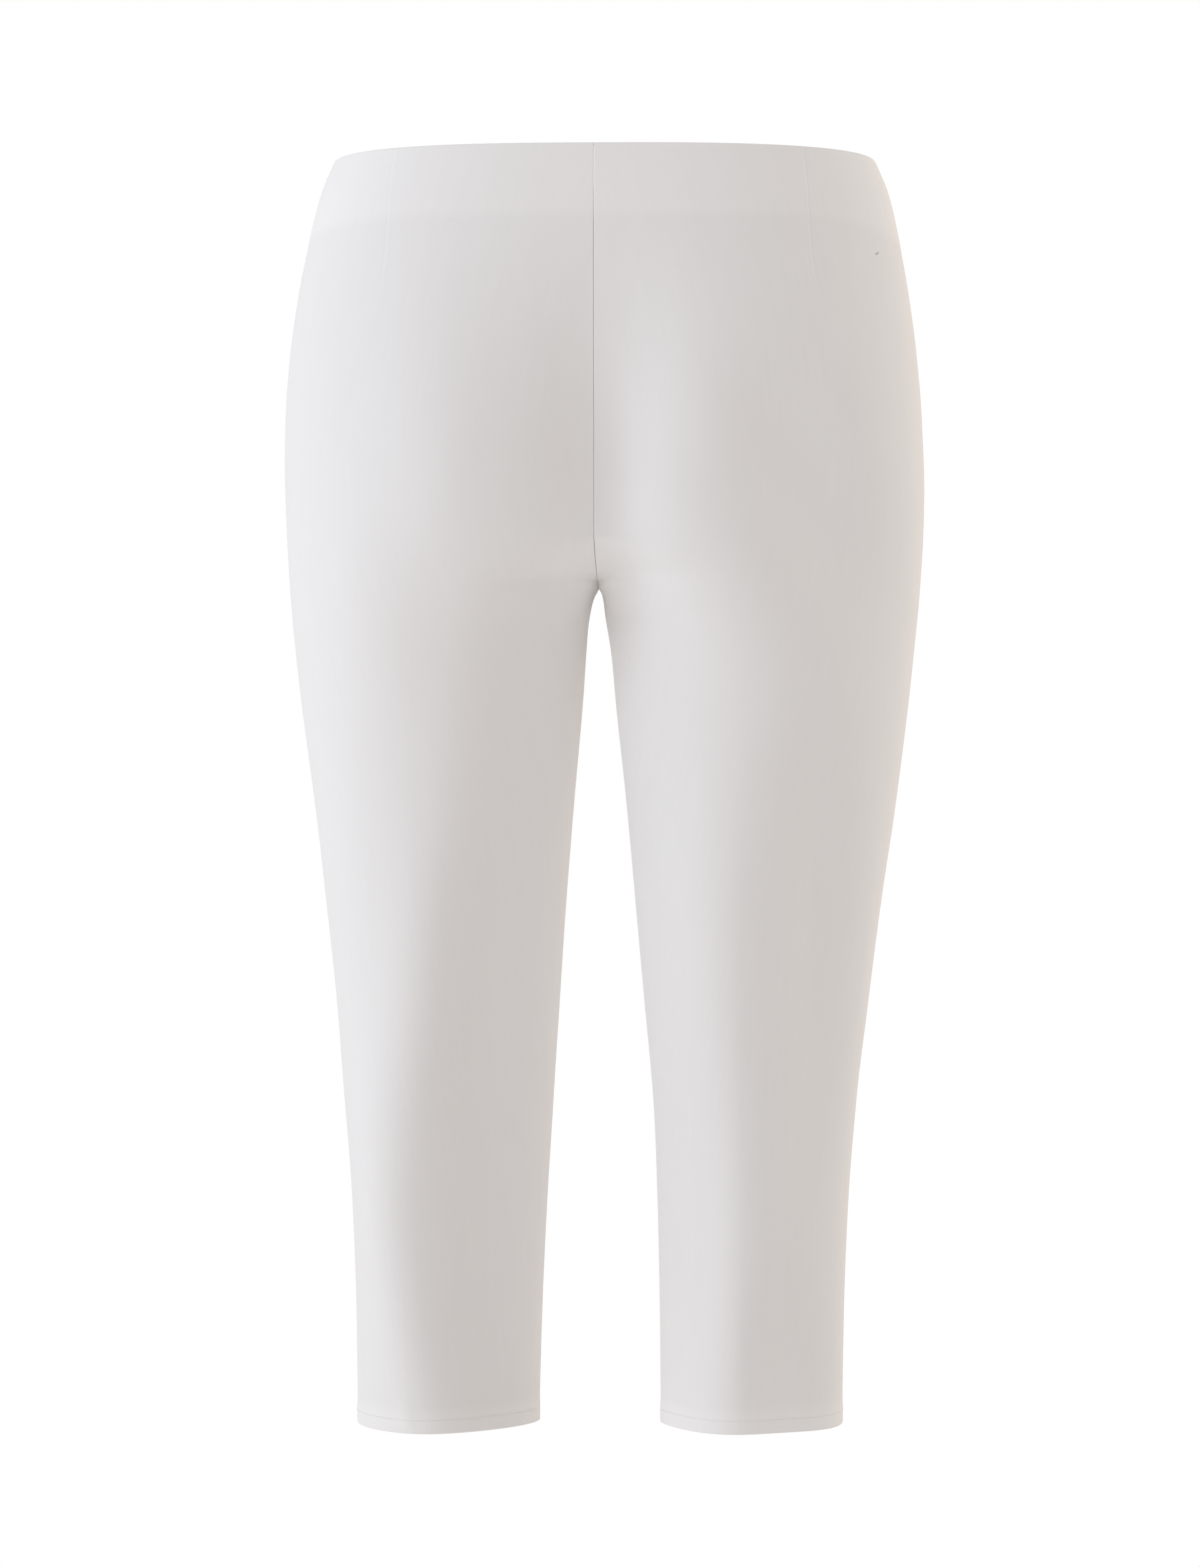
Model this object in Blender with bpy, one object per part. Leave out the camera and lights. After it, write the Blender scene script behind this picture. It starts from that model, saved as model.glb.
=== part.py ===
"""Pull-on capri pants, hollow and filled out as when worn.

The seat faces -Y and the front faces +Y. The origin is at the middle of the waist edge, which lies in the
plane z = 0, and the legs hang down from there. The wearer's left leg is at -X. At every height a leg is a
closed ring made of four rounded quarters. Above the crotch the two rings would reach past the centre plane,
and they are cut there, which gives the centre seams and the crotch curve. The largest soft folds are pushed
into the panels along their own lines.
"""

import math
from collections import namedtuple

import bmesh
import bpy
import numpy as np

# Driving dimensions, in metres. A drop is measured down from the waist edge.
RISE = 0.273  # waist edge down to the crotch
INSEAM = 0.533  # crotch down to the hem edge
LENGTH = RISE + INSEAM
WALL = 0.0012  # one layer of firm stretch cloth
SEAM_GAP = 0.0003  # between two pieces that are sewn together
FACING_DEPTH = 0.0445  # height of the waist facing at the centre
FACING_SIDE_DIP = 0.009  # how much deeper the facing is at the side seams
DIP_BEND = 10  # how near to the side seams its edge turns down
DIP_FADE = 6  # how fast the rows above and below it grow level again
FACING_TOP = 0.0006  # the facing starts this far below the waist edge
HEM_DEPTH = 0.018  # height of the hem that is turned up inside
HEM_STEP = 0.0008  # height over which the wall goes from one layer to two
HEM_TOP = LENGTH - HEM_DEPTH
CURVE_START = 0.225  # drop at which the centre seams begin to curve under to the crotch
CURVE_BEND = 6.0  # how gently that curve begins
CURVE_END = 0.85  # how steeply it ends
CROTCH_SPREAD = 0.48  # how fast the gap between the legs closes at the crotch
CROTCH_REACH = 0.012  # the height over which that fades out above it
SIDE_SEAM = 1.0167  # where the side seam runs round the ring, just in front of the widest point

# How finely the cloth is divided into faces.
COLUMNS = 14  # faces across one panel
TURN_STEP = 0.004  # steps round the ring and down it, to find which way the cloth faces
DROP_STEP = 0.0015
RIDGE_STEP = 0.030
RIDGE_START = 0.018
RIDGE_REACH = 0.045
EVEN_REACH = 0.03  # heights over which the columns' spacing is evened out
WALK_STEPS = 901  # steps in which each ring is measured
FOLD_STEPS = 60  # steps along a fold

# The rows of faces down a panel: each band ends at a drop and is shared out evenly.
Band = namedtuple("Band", "to_drop rows")
BANDS = [
    Band(FACING_DEPTH, 3),
    Band(0.225, 7),
    Band(0.261, 4),
    Band(RISE, 4),
    Band(0.285, 3),
    Band(0.315, 2),
    Band(HEM_TOP - HEM_STEP, 10),
    Band(HEM_TOP, 1),
    Band(LENGTH, 1),
]


def slopes(drops, values):
    """The slope in each row of a table, for a curve that passes through all rows and never overshoots."""
    steps = np.diff(drops)
    rises = np.diff(values) / steps
    found = np.concatenate([rises[:1], np.zeros(len(values) - 2), rises[-1:]])
    for i in range(1, len(values) - 1):
        before, after = rises[i - 1], rises[i]
        if before * after > 0:
            near, far = steps[i] * 2 + steps[i - 1], steps[i] + steps[i - 1] * 2
            found[i] = (near + far) / (near / before + far / after)
    return found


def table(names, rows):
    """A table with named columns. The first one is the drop of each row."""
    drops, *columns = np.array(rows).T
    return {name: (drops, values, slopes(drops, values)) for name, values in zip(names.split()[1:], columns)}


# The outer edges, from the centre plane, and how far they both lean towards +X.
OUTLINE = table(
    "drop half_width lean",
    [
        (0.000, 0.1729, 0.0035),
        (0.020, 0.1813, 0.0034),
        (0.045, 0.1877, 0.0030),
        (0.085, 0.1956, 0.0025),
        (0.125, 0.2010, 0.0023),
        (0.165, 0.2040, 0.0025),
        (0.205, 0.2049, 0.0031),
        (0.235, 0.2041, 0.0034),
        (0.273, 0.2020, 0.0033),
        (0.317, 0.1979, 0.0031),
        (0.343, 0.1950, 0.0032),
        (0.407, 0.1867, 0.0034),
        (0.471, 0.1782, 0.0024),
        (0.536, 0.1705, 0.0017),
        (0.600, 0.1641, 0.0004),
        (0.664, 0.1591, 0.0003),
        (0.728, 0.1566, 0.0002),
        (0.806, 0.1554, 0.0000),
    ],
)

# The inner edges below the crotch: half of the gap between the legs, and how far it leans towards +X.
GAP = table(
    "drop gap_half gap_lean",
    [
        (0.273, 0.0000, 0.0002),
        (0.279, 0.0029, 0.0000),
        (0.292, 0.0050, -0.0003),
        (0.317, 0.0080, 0.0005),
        (0.343, 0.0104, 0.0009),
        (0.407, 0.0167, 0.0014),
        (0.471, 0.0222, 0.0016),
        (0.536, 0.0273, 0.0022),
        (0.600, 0.0322, 0.0029),
        (0.664, 0.0354, 0.0020),
        (0.728, 0.0376, 0.0010),
        (0.806, 0.0392, 0.0001),
    ],
)

# The side view: how far the cloth reaches behind and before the plane y = 0, where the ring is widest, and
# where each leg's inner seam lies.
SIDE_VIEW = table(
    "drop back front middle left_inseam right_inseam",
    [
        (0.000, 0.1170, 0.1120, 0.0000, 0.0000, 0.0000),
        (0.045, 0.1212, 0.1165, 0.0000, 0.0000, 0.0000),
        (0.085, 0.1252, 0.1188, 0.0000, 0.0000, 0.0000),
        (0.125, 0.1297, 0.1192, 0.0000, 0.0000, 0.0000),
        (0.165, 0.1336, 0.1178, 0.0000, -0.0050, -0.0050),
        (0.205, 0.1350, 0.1150, 0.0000, -0.0150, -0.0150),
        (0.235, 0.1324, 0.1122, 0.0000, -0.0250, -0.0250),
        (0.273, 0.1228, 0.1082, 0.0000, -0.0350, -0.0350),
        (0.310, 0.1104, 0.1052, -0.0004, -0.0330, -0.0530),
        (0.343, 0.1025, 0.1025, -0.0010, -0.0300, -0.0550),
        (0.407, 0.0923, 0.0965, -0.0017, -0.0270, -0.0480),
        (0.471, 0.0842, 0.0883, -0.0022, -0.0220, -0.0410),
        (0.536, 0.0774, 0.0795, -0.0030, -0.0160, -0.0330),
        (0.600, 0.0725, 0.0715, -0.0036, -0.0110, -0.0260),
        (0.664, 0.0692, 0.0650, -0.0036, -0.0070, -0.0200),
        (0.728, 0.0664, 0.0612, -0.0030, -0.0030, -0.0140),
        (0.806, 0.0636, 0.0596, -0.0020, 0.0000, -0.0060),
    ],
)

# The shape of a ring: how far from the centre plane it is deepest, and its squareness, which is 2 on an
# ellipse. The inner quarters have their own squareness, near the deepest points and towards each leg's inner
# edge.
RING = table(
    "drop back_peak front_peak squareness inner_squareness left_edge right_edge",
    [
        (0.000, 0.0000, 0.0000, 2.75, 2.75, 2.75, 2.75),
        (0.045, 0.0100, 0.0020, 2.62, 2.62, 2.62, 2.62),
        (0.085, 0.0280, 0.0120, 2.50, 2.50, 2.50, 2.50),
        (0.125, 0.0470, 0.0280, 2.40, 2.40, 2.40, 2.40),
        (0.165, 0.0620, 0.0460, 2.32, 2.32, 2.32, 2.32),
        (0.205, 0.0740, 0.0620, 2.26, 2.26, 2.26, 2.26),
        (0.235, 0.0820, 0.0730, 2.23, 2.28, 2.28, 2.28),
        (0.273, 0.0910, 0.0860, 2.20, 2.32, 2.32, 2.32),
        (0.295, 0.0950, 0.0920, 2.18, 2.20, 1.70, 1.25),
        (0.317, 0.0980, 0.0960, 2.16, 2.08, 1.45, 1.05),
        (0.360, 0.1010, 0.1000, 2.14, 1.95, 1.30, 1.02),
        (0.407, 0.1015, 0.1010, 2.12, 1.88, 1.25, 1.00),
        (0.471, 0.1005, 0.1005, 2.10, 1.85, 1.22, 1.00),
        (0.536, 0.0992, 0.0992, 2.10, 1.85, 1.20, 1.00),
        (0.600, 0.0984, 0.0984, 2.10, 1.86, 1.20, 1.00),
        (0.728, 0.0973, 0.0973, 2.10, 1.90, 1.25, 1.10),
        (0.806, 0.0975, 0.0975, 2.10, 2.05, 1.40, 1.35),
    ],
)

# The depth of the centre seams, before they curve under to the crotch.
CENTRE_SEAMS = table(
    "drop back_seam front_seam",
    [
        (0.000, 0.1170, 0.1120),
        (0.045, 0.1210, 0.1165),
        (0.085, 0.1248, 0.1186),
        (0.125, 0.1290, 0.1184),
        (0.165, 0.1322, 0.1160),
        (0.205, 0.1332, 0.1110),
        (0.235, 0.1305, 0.1050),
        (0.273, 0.1210, 0.0960),
    ],
)

# How far each leg is turned below the crotch: its deepest points shift towards the outer edge behind, and
# away from it in front.
TWIST = table(
    "drop left_twist right_twist",
    [
        (0.273, 0.0000, 0.0000),
        (0.343, 0.0010, -0.0040),
        (0.407, 0.0030, -0.0080),
        (0.500, 0.0090, -0.0110),
        (0.620, 0.0170, -0.0090),
        (0.720, 0.0150, -0.0050),
        (0.806, 0.0060, -0.0030),
    ],
)

SIZES = {**OUTLINE, **GAP, **SIDE_VIEW, **RING, **CENTRE_SEAMS, **TWIST}

# The largest soft folds, in millimetres. A fold runs from point 1, past point 2, to point 3, each given by
# its x and its drop. side is -1 or 1 for one leg and 0 for both, and a height below 0 is a trough.
Fold = namedtuple("Fold", "side x1 drop1 x2 drop2 x3 drop3 width height")
BACK_FOLDS = [
    Fold(-1, -108, 410, -112, 560, -136, 720, 24, 5.5),
    Fold(-1, -140, 540, -142, 700, -84, 900, 22, 5.5),
    Fold(-1, -46, 330, -82, 640, -64, 880, 26, -4.6),
    Fold(0, 10, 60, 10, 215, 6, 305, 42, -17.5),
    Fold(0, 19, 130, 19, 220, 17, 290, 20, -4.5),
    Fold(1, 36, 190, 74, 206, 125, 236, 26, -4.0),
    Fold(1, 104, 130, 136, 214, 178, 304, 46, -22.0),
    Fold(1, 60, 340, 74, 480, 66, 660, 30, 5.5),
    Fold(1, 140, 330, 148, 480, 124, 700, 26, -8.0),
    Fold(1, 88, 600, 92, 720, 66, 880, 26, 4.0),
    Fold(1, 118, 700, 124, 760, 120, 850, 28, -7.5),
]
FRONT_FOLDS = [
    Fold(-1, -52, 470, -90, 492, -134, 470, 22, -2.4),
    Fold(1, 48, 496, 92, 520, 140, 492, 24, -2.8),
    Fold(-1, -92, 520, -98, 680, -90, 870, 26, 3.0),
    Fold(1, 84, 540, 104, 690, 96, 870, 28, 3.2),
]
SEAM_KEPT = 0.014  # this near the centre plane, folds push the cloth straight back or forward


def size_at(name, drop):
    """One size of the tables at any height, on a smooth curve through its rows."""
    drops, values, inclines = SIZES[name]
    drop = np.clip(drop, drops[0], drops[-1])
    i = np.clip(np.searchsorted(drops, drop, side="right") - 1, 0, len(drops) - 2)
    step = drops[i + 1] - drops[i]
    t = (drop - drops[i]) / step
    rest = 1 - t
    start = values[i] * (1 + 2 * t) * rest**2 + inclines[i] * step * t * rest**2
    end = values[i + 1] * t**2 * (3 - 2 * t) - inclines[i + 1] * step * t**2 * rest
    return start + end


def signed_power(value, power):
    return np.sign(value) * np.abs(value) ** power


def crotch_curve(drop):
    """The share of a centre seam's depth that is left as it curves under, from 1 to 0 at the crotch."""
    t = np.clip((drop - CURVE_START) / (RISE - CURVE_START), 0, 1)
    return (1 - t**CURVE_BEND) ** CURVE_END


def legs_size(name, side, drop):
    """A size that each leg has its own column for. side is 1 for the wearer's right leg and -1 for the left
    one."""
    return size_at(("right_" if side > 0 else "left_") + name, drop)


def quarter_sizes(side, drop, at_back):
    """The inner quarter's depth, the peak's distance from the centre plane, and the reach from there in and
    out."""
    half = "back" if at_back else "front"
    middle = legs_size("inseam", side, drop) * (1 if at_back else -1)
    depth = size_at(half, drop) + middle
    twist = legs_size("twist", side, drop)
    peak = size_at(half + "_peak", drop) + (twist if at_back else -twist)
    outer = size_at("half_width", drop)
    at_seam = np.minimum((size_at(half + "_seam", drop) + middle) * crotch_curve(drop) / depth, 1)
    left = 1 - at_seam ** legs_size("edge", side, drop)
    share = np.maximum(left ** (1 / size_at("inner_squareness", drop)), 1e-9)
    above = np.maximum(RISE - drop, 0)
    to_plane = peak / share + CROTCH_SPREAD * above * np.exp(-above / CROTCH_REACH)
    inwards = np.where(drop < RISE, to_plane, peak - size_at("gap_half", drop))
    return depth, peak, inwards, outer - peak


def roundness(side, drop, inner):
    """How square a quarter is near its peak and towards its other end."""
    outer_square = size_at("squareness", drop)
    near_peak = np.where(inner, size_at("inner_squareness", drop), outer_square)
    return near_peak, np.where(inner, legs_size("edge", side, drop), outer_square)


def lean_at(drop, across):
    """How far the cloth leans towards +X, more towards the outer edges."""
    share = np.minimum(1, (across / size_at("half_width", drop)) ** 2)
    gap_lean = size_at("gap_lean", drop)
    return gap_lean + (size_at("lean", drop) - gap_lean) * share


def surface(side, drop, turn):
    """Points on the cloth's outer face, with no folds. turn is 0 at the inner end of the ring, 1 at the
    outer edge by way of the back, and 2 at the inner end again by way of the front."""
    drop, turn = np.broadcast_arrays(np.asarray(drop, float), np.asarray(turn, float) % 2)
    at_back = turn <= 1
    sizes = zip(quarter_sizes(side, drop, True), quarter_sizes(side, drop, False))
    depth, peak, inwards, outwards = (np.where(at_back, back, front) for back, front in sizes)
    angle = math.pi * np.where(at_back, turn, 2 - turn)
    inner = angle < math.pi / 2
    near_peak, near_edge = roundness(side, drop, inner)
    swing = signed_power(np.cos(angle), 2 / near_peak)
    across = peak - swing * np.where(inner, inwards, outwards)
    middle = size_at("middle", drop)
    outer_depth = np.where(at_back, size_at("back", drop) + middle, size_at("front", drop) - middle)
    away = np.where(inner, depth, outer_depth) * np.abs(np.sin(angle)) ** (2 / near_edge)
    x = side * across + lean_at(drop, across)
    y = np.where(inner, legs_size("inseam", side, drop), middle) + np.where(at_back, -away, away)
    return np.stack([x, y, -drop], axis=-1)


def turn_at(side, drop, x, at_back):
    """The turn of the point of a ring that lies at a given x."""
    depth, peak, inwards, outwards = quarter_sizes(side, drop, at_back)
    across = side * (x - lean_at(drop, abs(x)))
    reach = np.where(across < peak, inwards, outwards)
    swing = np.clip((peak - across) / reach, -1, 1)
    turn = np.arccos(signed_power(swing, roundness(side, drop, swing > 0)[0] / 2)) / math.pi
    return turn if at_back else 2 - turn


def straight_out(side, drop, turn, step):
    """The direction straight out of the smooth cloth."""
    round_ring = surface(side, drop, turn + step) - surface(side, drop, turn - step)
    above, below = np.maximum(drop - DROP_STEP, 0), np.minimum(drop + DROP_STEP, LENGTH)
    down_cloth = surface(side, below, turn) - surface(side, above, turn)
    direction = np.cross(round_ring, down_cloth) * -side
    return direction / np.linalg.norm(direction, axis=-1, keepdims=True)


def outward(side, drop, turn):
    """The direction out of the cloth, the same on both sides of a seam. The inner edge of a leg is a soft
    ridge, so near it the direction turns over to that of the ridge."""
    at_ridge = straight_out(side, drop, np.zeros_like(turn), RIDGE_STEP)
    share = np.clip((np.minimum(turn, 2 - turn) - RIDGE_START) / RIDGE_REACH, 0, 1)[..., None]
    direction = at_ridge * (1 - share) + straight_out(side, drop, turn, TURN_STEP) * share
    return direction / np.linalg.norm(direction, axis=-1, keepdims=True)


def first_turn(side, drops, at_back):
    """The turn at which a panel begins: at the centre plane above the crotch, and at the inseam below it."""
    depth, peak, inwards, outwards = quarter_sizes(side, drops, at_back)
    to_plane = peak - SEAM_GAP / 2
    swing = np.clip(to_plane / np.where(to_plane > 0, inwards, outwards), -1, 1)
    at_plane = np.arccos(signed_power(swing, size_at("inner_squareness", drops) / 2))
    at_inseam = np.arcsin((SEAM_GAP / 2 / depth) ** (legs_size("edge", side, drops) / 2))
    turn = np.maximum(at_plane, at_inseam) / math.pi
    return turn if at_back else 2 - turn


def evened_out(drops, lengths):
    """Lengths round the rings, averaged over the heights nearby."""
    spacing = np.gradient(drops)
    weights = np.exp(-(((drops[:, None] - drops[None]) / EVEN_REACH) ** 2)) * spacing
    return weights @ lengths / weights.sum(axis=1)


def panel_turns(side, drops, at_back):
    """The turns of a panel's columns, a row for each drop. The columns are evenly spaced from the side seam,
    and only those next to the crotch curve bunch up or spread out to follow it. The panel stops half a
    gap short of the seam."""
    fine = np.linspace(first_turn(side, drops, at_back), SIDE_SEAM, WALK_STEPS, axis=1)
    steps = np.linalg.norm(np.diff(surface(side, drops[:, None], fine), axis=1), axis=2)
    travel = np.concatenate([np.zeros((len(drops), 1)), np.cumsum(steps, axis=1)], axis=1)
    whole = travel[:, -1] - SEAM_GAP / 2
    even = evened_out(drops, whole)
    left = 1 - np.linspace(0, 1, COLUMNS + 1)
    from_side = np.outer(even, left) + np.outer(whole - even, left**4)
    rows = [np.interp(w - row, t, f) for w, row, t, f in zip(whole, from_side, travel, fine)]
    return np.array(rows)


def band_drops():
    drops = [0.0]
    for band in BANDS:
        drops.extend(np.linspace(drops[-1], band.to_drop, band.rows + 1)[1:])
    return np.array(drops)


def side_dip(drop, place):
    """Rows near the facing's lower edge hang a little lower towards the side seams, as that edge does."""
    near_edge = np.exp(-DIP_FADE * ((drop - FACING_DEPTH) / FACING_DEPTH) ** 2)
    return FACING_SIDE_DIP * near_edge * (place[..., 0] / size_at("half_width", drop)) ** DIP_BEND


def fold_line(fold, at_back):
    """Points along a fold, closer together than it is wide, with the way that each stands for."""
    t = np.linspace(0, 1, FOLD_STEPS)[:, None]
    a, b, c = (np.array(fold[i : i + 2]) / 1000 for i in (1, 3, 5))
    line = []
    for x, drop in a * (1 - t) ** 2 + b * 2 * t * (1 - t) + c * t**2:
        side = 1 if x > 0 else -1
        line.append(surface(side, drop, turn_at(side, drop, x, at_back)))
    ways = np.linalg.norm(np.gradient(np.array(line), axis=0), axis=1)
    return line, ways * np.sin(math.pi * t[:, 0])


def folds_on(side, points):
    """How far each point of a leg is pushed out by all its folds together. A fold is a row of soft round
    bumps that run into one another and die away at both ends."""
    pushed = np.zeros(points.shape[:2])
    for at_back, folds in ((True, BACK_FOLDS), (False, FRONT_FOLDS)):
        for fold in folds:
            if fold.side == -side:
                continue
            width, height = fold.width / 1000, fold.height / 1000
            for place, share in zip(*fold_line(fold, at_back)):
                squared = ((points - place) ** 2).sum(axis=-1)
                pushed += height * share / width / math.sqrt(math.pi) * np.exp(-squared / width**2)
    return pushed


def panel_sheet(side, at_back):
    """The panel's points and their outward directions, a row for each height, from the centre seam or inseam
    to the side seam."""
    drops = band_drops()
    turns = panel_turns(side, drops, at_back)
    level = drops[:, None] + np.zeros_like(turns)
    dipped = level + side_dip(level, surface(side, level, turns))
    points, out = surface(side, dipped, turns), outward(side, dipped, turns)
    direction = out.copy()
    direction[..., 0] *= 1 - np.exp(-((points[..., 0] / SEAM_KEPT) ** 2))
    return points + direction * folds_on(side, points)[..., None], out


def add_piece(name, outer_face, inner_face, material):
    """A closed piece of cloth between an outer and an inner grid of points."""
    rows, columns = outer_face.shape[:2]
    bm = bmesh.new()
    for points in (outer_face, inner_face):
        grid = bmesh.ops.create_grid(bm, x_segments=columns - 1, y_segments=rows - 1, size=1.0)
        in_rows = sorted(grid["verts"], key=lambda v: (-round(v.co.y, 6), round(v.co.x, 6)))
        for vert, point in zip(in_rows, points.reshape(-1, 3)):
            vert.co = point
    bmesh.ops.bridge_loops(bm, edges=[edge for edge in bm.edges if edge.is_boundary])
    bmesh.ops.recalc_face_normals(bm, faces=bm.faces)
    mesh = bpy.data.meshes.new(name)
    bm.to_mesh(mesh)
    bm.free()
    mesh.materials.append(material)
    mesh.shade_smooth()
    mesh.set_sharp_from_angle(angle=math.radians(50))
    piece = bpy.data.objects.new(name, mesh)
    bpy.context.scene.collection.objects.link(piece)
    return piece


def cloth(name, colour, roughness):
    material = bpy.data.materials.new(name)
    material.use_nodes = True
    finish = material.node_tree.nodes["Principled BSDF"]
    finish.inputs["Base Color"].default_value = (*colour, 1.0)
    finish.inputs["Roughness"].default_value = roughness
    finish.inputs["Metallic"].default_value = 0.0
    return material


def add_panel(side, at_back, material):
    """One leg's back or front, from the waist edge to the hem, which is turned up inside as a second
    layer."""
    name = ("back_" if at_back else "front_") + ("right" if side > 0 else "left")
    points, out = panel_sheet(side, at_back)
    in_hem = -points[..., 2:] > HEM_TOP - HEM_STEP / 2
    add_piece(name, points, points - out * np.where(in_hem, 2 * WALL, WALL), material)


def facing_sheet(side, at_back):
    """The panel's own top rows, down to the facing's lower edge."""
    rows = BANDS[0].rows + 1
    points, out = (grid[:rows] for grid in panel_sheet(side, at_back))
    points[0, :, 2] -= FACING_TOP
    return points, out


def add_facing(name, points, out, material):
    """A facing lies inside its panel, a seam's gap away from it."""
    outer_depth = WALL + SEAM_GAP
    add_piece(name, points - out * outer_depth, points - out * (outer_depth + WALL), material)


def main():
    for old in list(bpy.data.objects):
        bpy.data.objects.remove(old, do_unlink=True)
    outer_cloth = cloth("white_stretch_cloth", (0.80, 0.785, 0.775), 0.85)
    facing_cloth = cloth("facing_cloth", (0.78, 0.77, 0.76), 0.9)
    for at_back in (True, False):
        for side in (-1, 1):
            add_panel(side, at_back, outer_cloth)
    add_facing("facing_back_left", *facing_sheet(-1, True), facing_cloth)
    add_facing("facing_back_right", *facing_sheet(1, True), facing_cloth)
    to_left, to_right = facing_sheet(-1, False), facing_sheet(1, False)
    whole_front = [np.concatenate([a[:, ::-1], b], axis=1) for a, b in zip(to_left, to_right)]
    add_facing("facing_front", *whole_front, facing_cloth)


main()
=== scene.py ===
# %% [markdown]
# # Pull-on capri pants, filled out with no wearer
#
# The real garment is cut from a firm white stretch cloth: two fronts, two backs and three facings that
# finish the waist on the inside. Nothing closes it, because the cloth stretches over the hips. The packed
# model already holds those seven pieces at their real size. What it leaves out is what makes cloth look like
# cloth: soft folds, seams that roll in, darts, a hem that stands a little proud, overlocked edges and the
# weave. This lesson makes them.
#
# The garment could be draped by simulation. It isn't here, because tight trousers owe their shape to their
# cut, and the few soft folds they have are easier to place one by one than to hope for.

# %% Load the imported model
import math
from collections import namedtuple

import bmesh
import bpy
import numpy as np
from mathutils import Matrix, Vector


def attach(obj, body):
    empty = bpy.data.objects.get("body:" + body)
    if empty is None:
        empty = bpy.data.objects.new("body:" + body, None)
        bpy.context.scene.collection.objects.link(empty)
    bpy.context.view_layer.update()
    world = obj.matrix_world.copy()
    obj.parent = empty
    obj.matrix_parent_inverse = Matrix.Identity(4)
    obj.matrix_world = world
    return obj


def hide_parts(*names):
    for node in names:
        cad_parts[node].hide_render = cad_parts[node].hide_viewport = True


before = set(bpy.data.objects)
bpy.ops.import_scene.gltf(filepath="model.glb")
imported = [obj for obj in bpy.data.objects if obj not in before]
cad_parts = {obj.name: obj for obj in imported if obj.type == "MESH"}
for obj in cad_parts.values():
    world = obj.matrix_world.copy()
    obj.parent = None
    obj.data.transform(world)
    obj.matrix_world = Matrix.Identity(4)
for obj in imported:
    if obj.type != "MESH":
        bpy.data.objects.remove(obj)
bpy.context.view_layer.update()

BODY = "root"

# %% [markdown]
# ## The camera
#
# A long lens far away keeps the two legs' widths honest, as in a shop's product picture. The camera stands
# level with the middle of the picture, so no shift is needed, and a hair to the wearer's right of straight
# behind.

# %% Camera
PICTURE_HEIGHT = 1567  # pixels
FOCAL_LENGTH = 4666  # in the same pixels
SENSOR = 36.0  # mm along the picture's long side
CAMERA_DISTANCE = 3.0
CAMERA_TURN = math.radians(2)
CAMERA_HEIGHT = -0.3964


def add_object(name, data):
    thing = bpy.data.objects.new(name, data)
    bpy.context.scene.collection.objects.link(thing)
    return thing


def add_camera():
    data = bpy.data.cameras.new("camera")
    data.sensor_width = SENSOR
    data.lens = FOCAL_LENGTH / PICTURE_HEIGHT * SENSOR
    camera = add_object("camera", data)
    across, back = math.sin(CAMERA_TURN) * CAMERA_DISTANCE, math.cos(CAMERA_TURN) * CAMERA_DISTANCE
    camera.location = (across, -back, CAMERA_HEIGHT)
    camera.rotation_euler = (math.pi / 2, 0, CAMERA_TURN)
    bpy.context.scene.camera = camera
    return camera


camera = add_camera()
print("camera: lens", round(camera.data.lens, 1), "mm")

# %% [markdown]
# ## The sizes of the garment
#
# Every height is a drop, measured down from the waist edge. A maker thinks of a leg as a tube, so each level
# of a leg is one closed ring. Short tables give its width, depth and roundness at a few levels, and a smooth
# curve joins them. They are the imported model's own sizes. Above the crotch the two legs' rings run past the
# centre plane and are cut there, which gives the centre seams.

# %% Sizes and tables
RISE = 0.273  # waist edge down to the crotch
LENGTH = 0.806  # waist edge down to the hem edge
WALL = 0.0012  # one layer of cloth
SEAM_GAP = 0.0001  # between two panels that are sewn together
FACING_DEPTH = 0.0445
FACING_SIDE_DIP = 0.009
DIP_BEND = 10  # how near to the side seams the facing's edge turns down
DIP_FADE = 6  # how fast the rows above and below it grow level again
FACING_TOP = 0.0006
HEM_DEPTH = 0.018
HEM_STEP = 0.0008
HEM_TOP = LENGTH - HEM_DEPTH
HEM_LINE = LENGTH - 0.0088  # the hem's line of stitches
CURVE_START = 0.225  # where the centre seams begin to curve under to the crotch
CURVE_BEND = 6.0  # how gently they begin
CURVE_END = 0.85  # how steeply they end
CROTCH_SPREAD = 0.48  # how fast the gap between the legs closes at the crotch
CROTCH_REACH = 0.012  # the height over which that fades out above it
SIDE_SEAM = 1.0167  # where the side seam runs round a ring


def slopes(drops, values):
    """The slope in each row of a table, for a curve that passes through all rows and never overshoots."""
    steps = np.diff(drops)
    rises = np.diff(values) / steps
    found = np.concatenate([rises[:1], np.zeros(len(values) - 2), rises[-1:]])
    for i in range(1, len(values) - 1):
        before, after = rises[i - 1], rises[i]
        if before * after > 0:
            near, far = steps[i] * 2 + steps[i - 1], steps[i] + steps[i - 1] * 2
            found[i] = (near + far) / (near / before + far / after)
    return found


def table(names, rows):
    drops, *columns = np.array(rows).T
    return {name: (drops, values, slopes(drops, values)) for name, values in zip(names.split()[1:], columns)}


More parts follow.
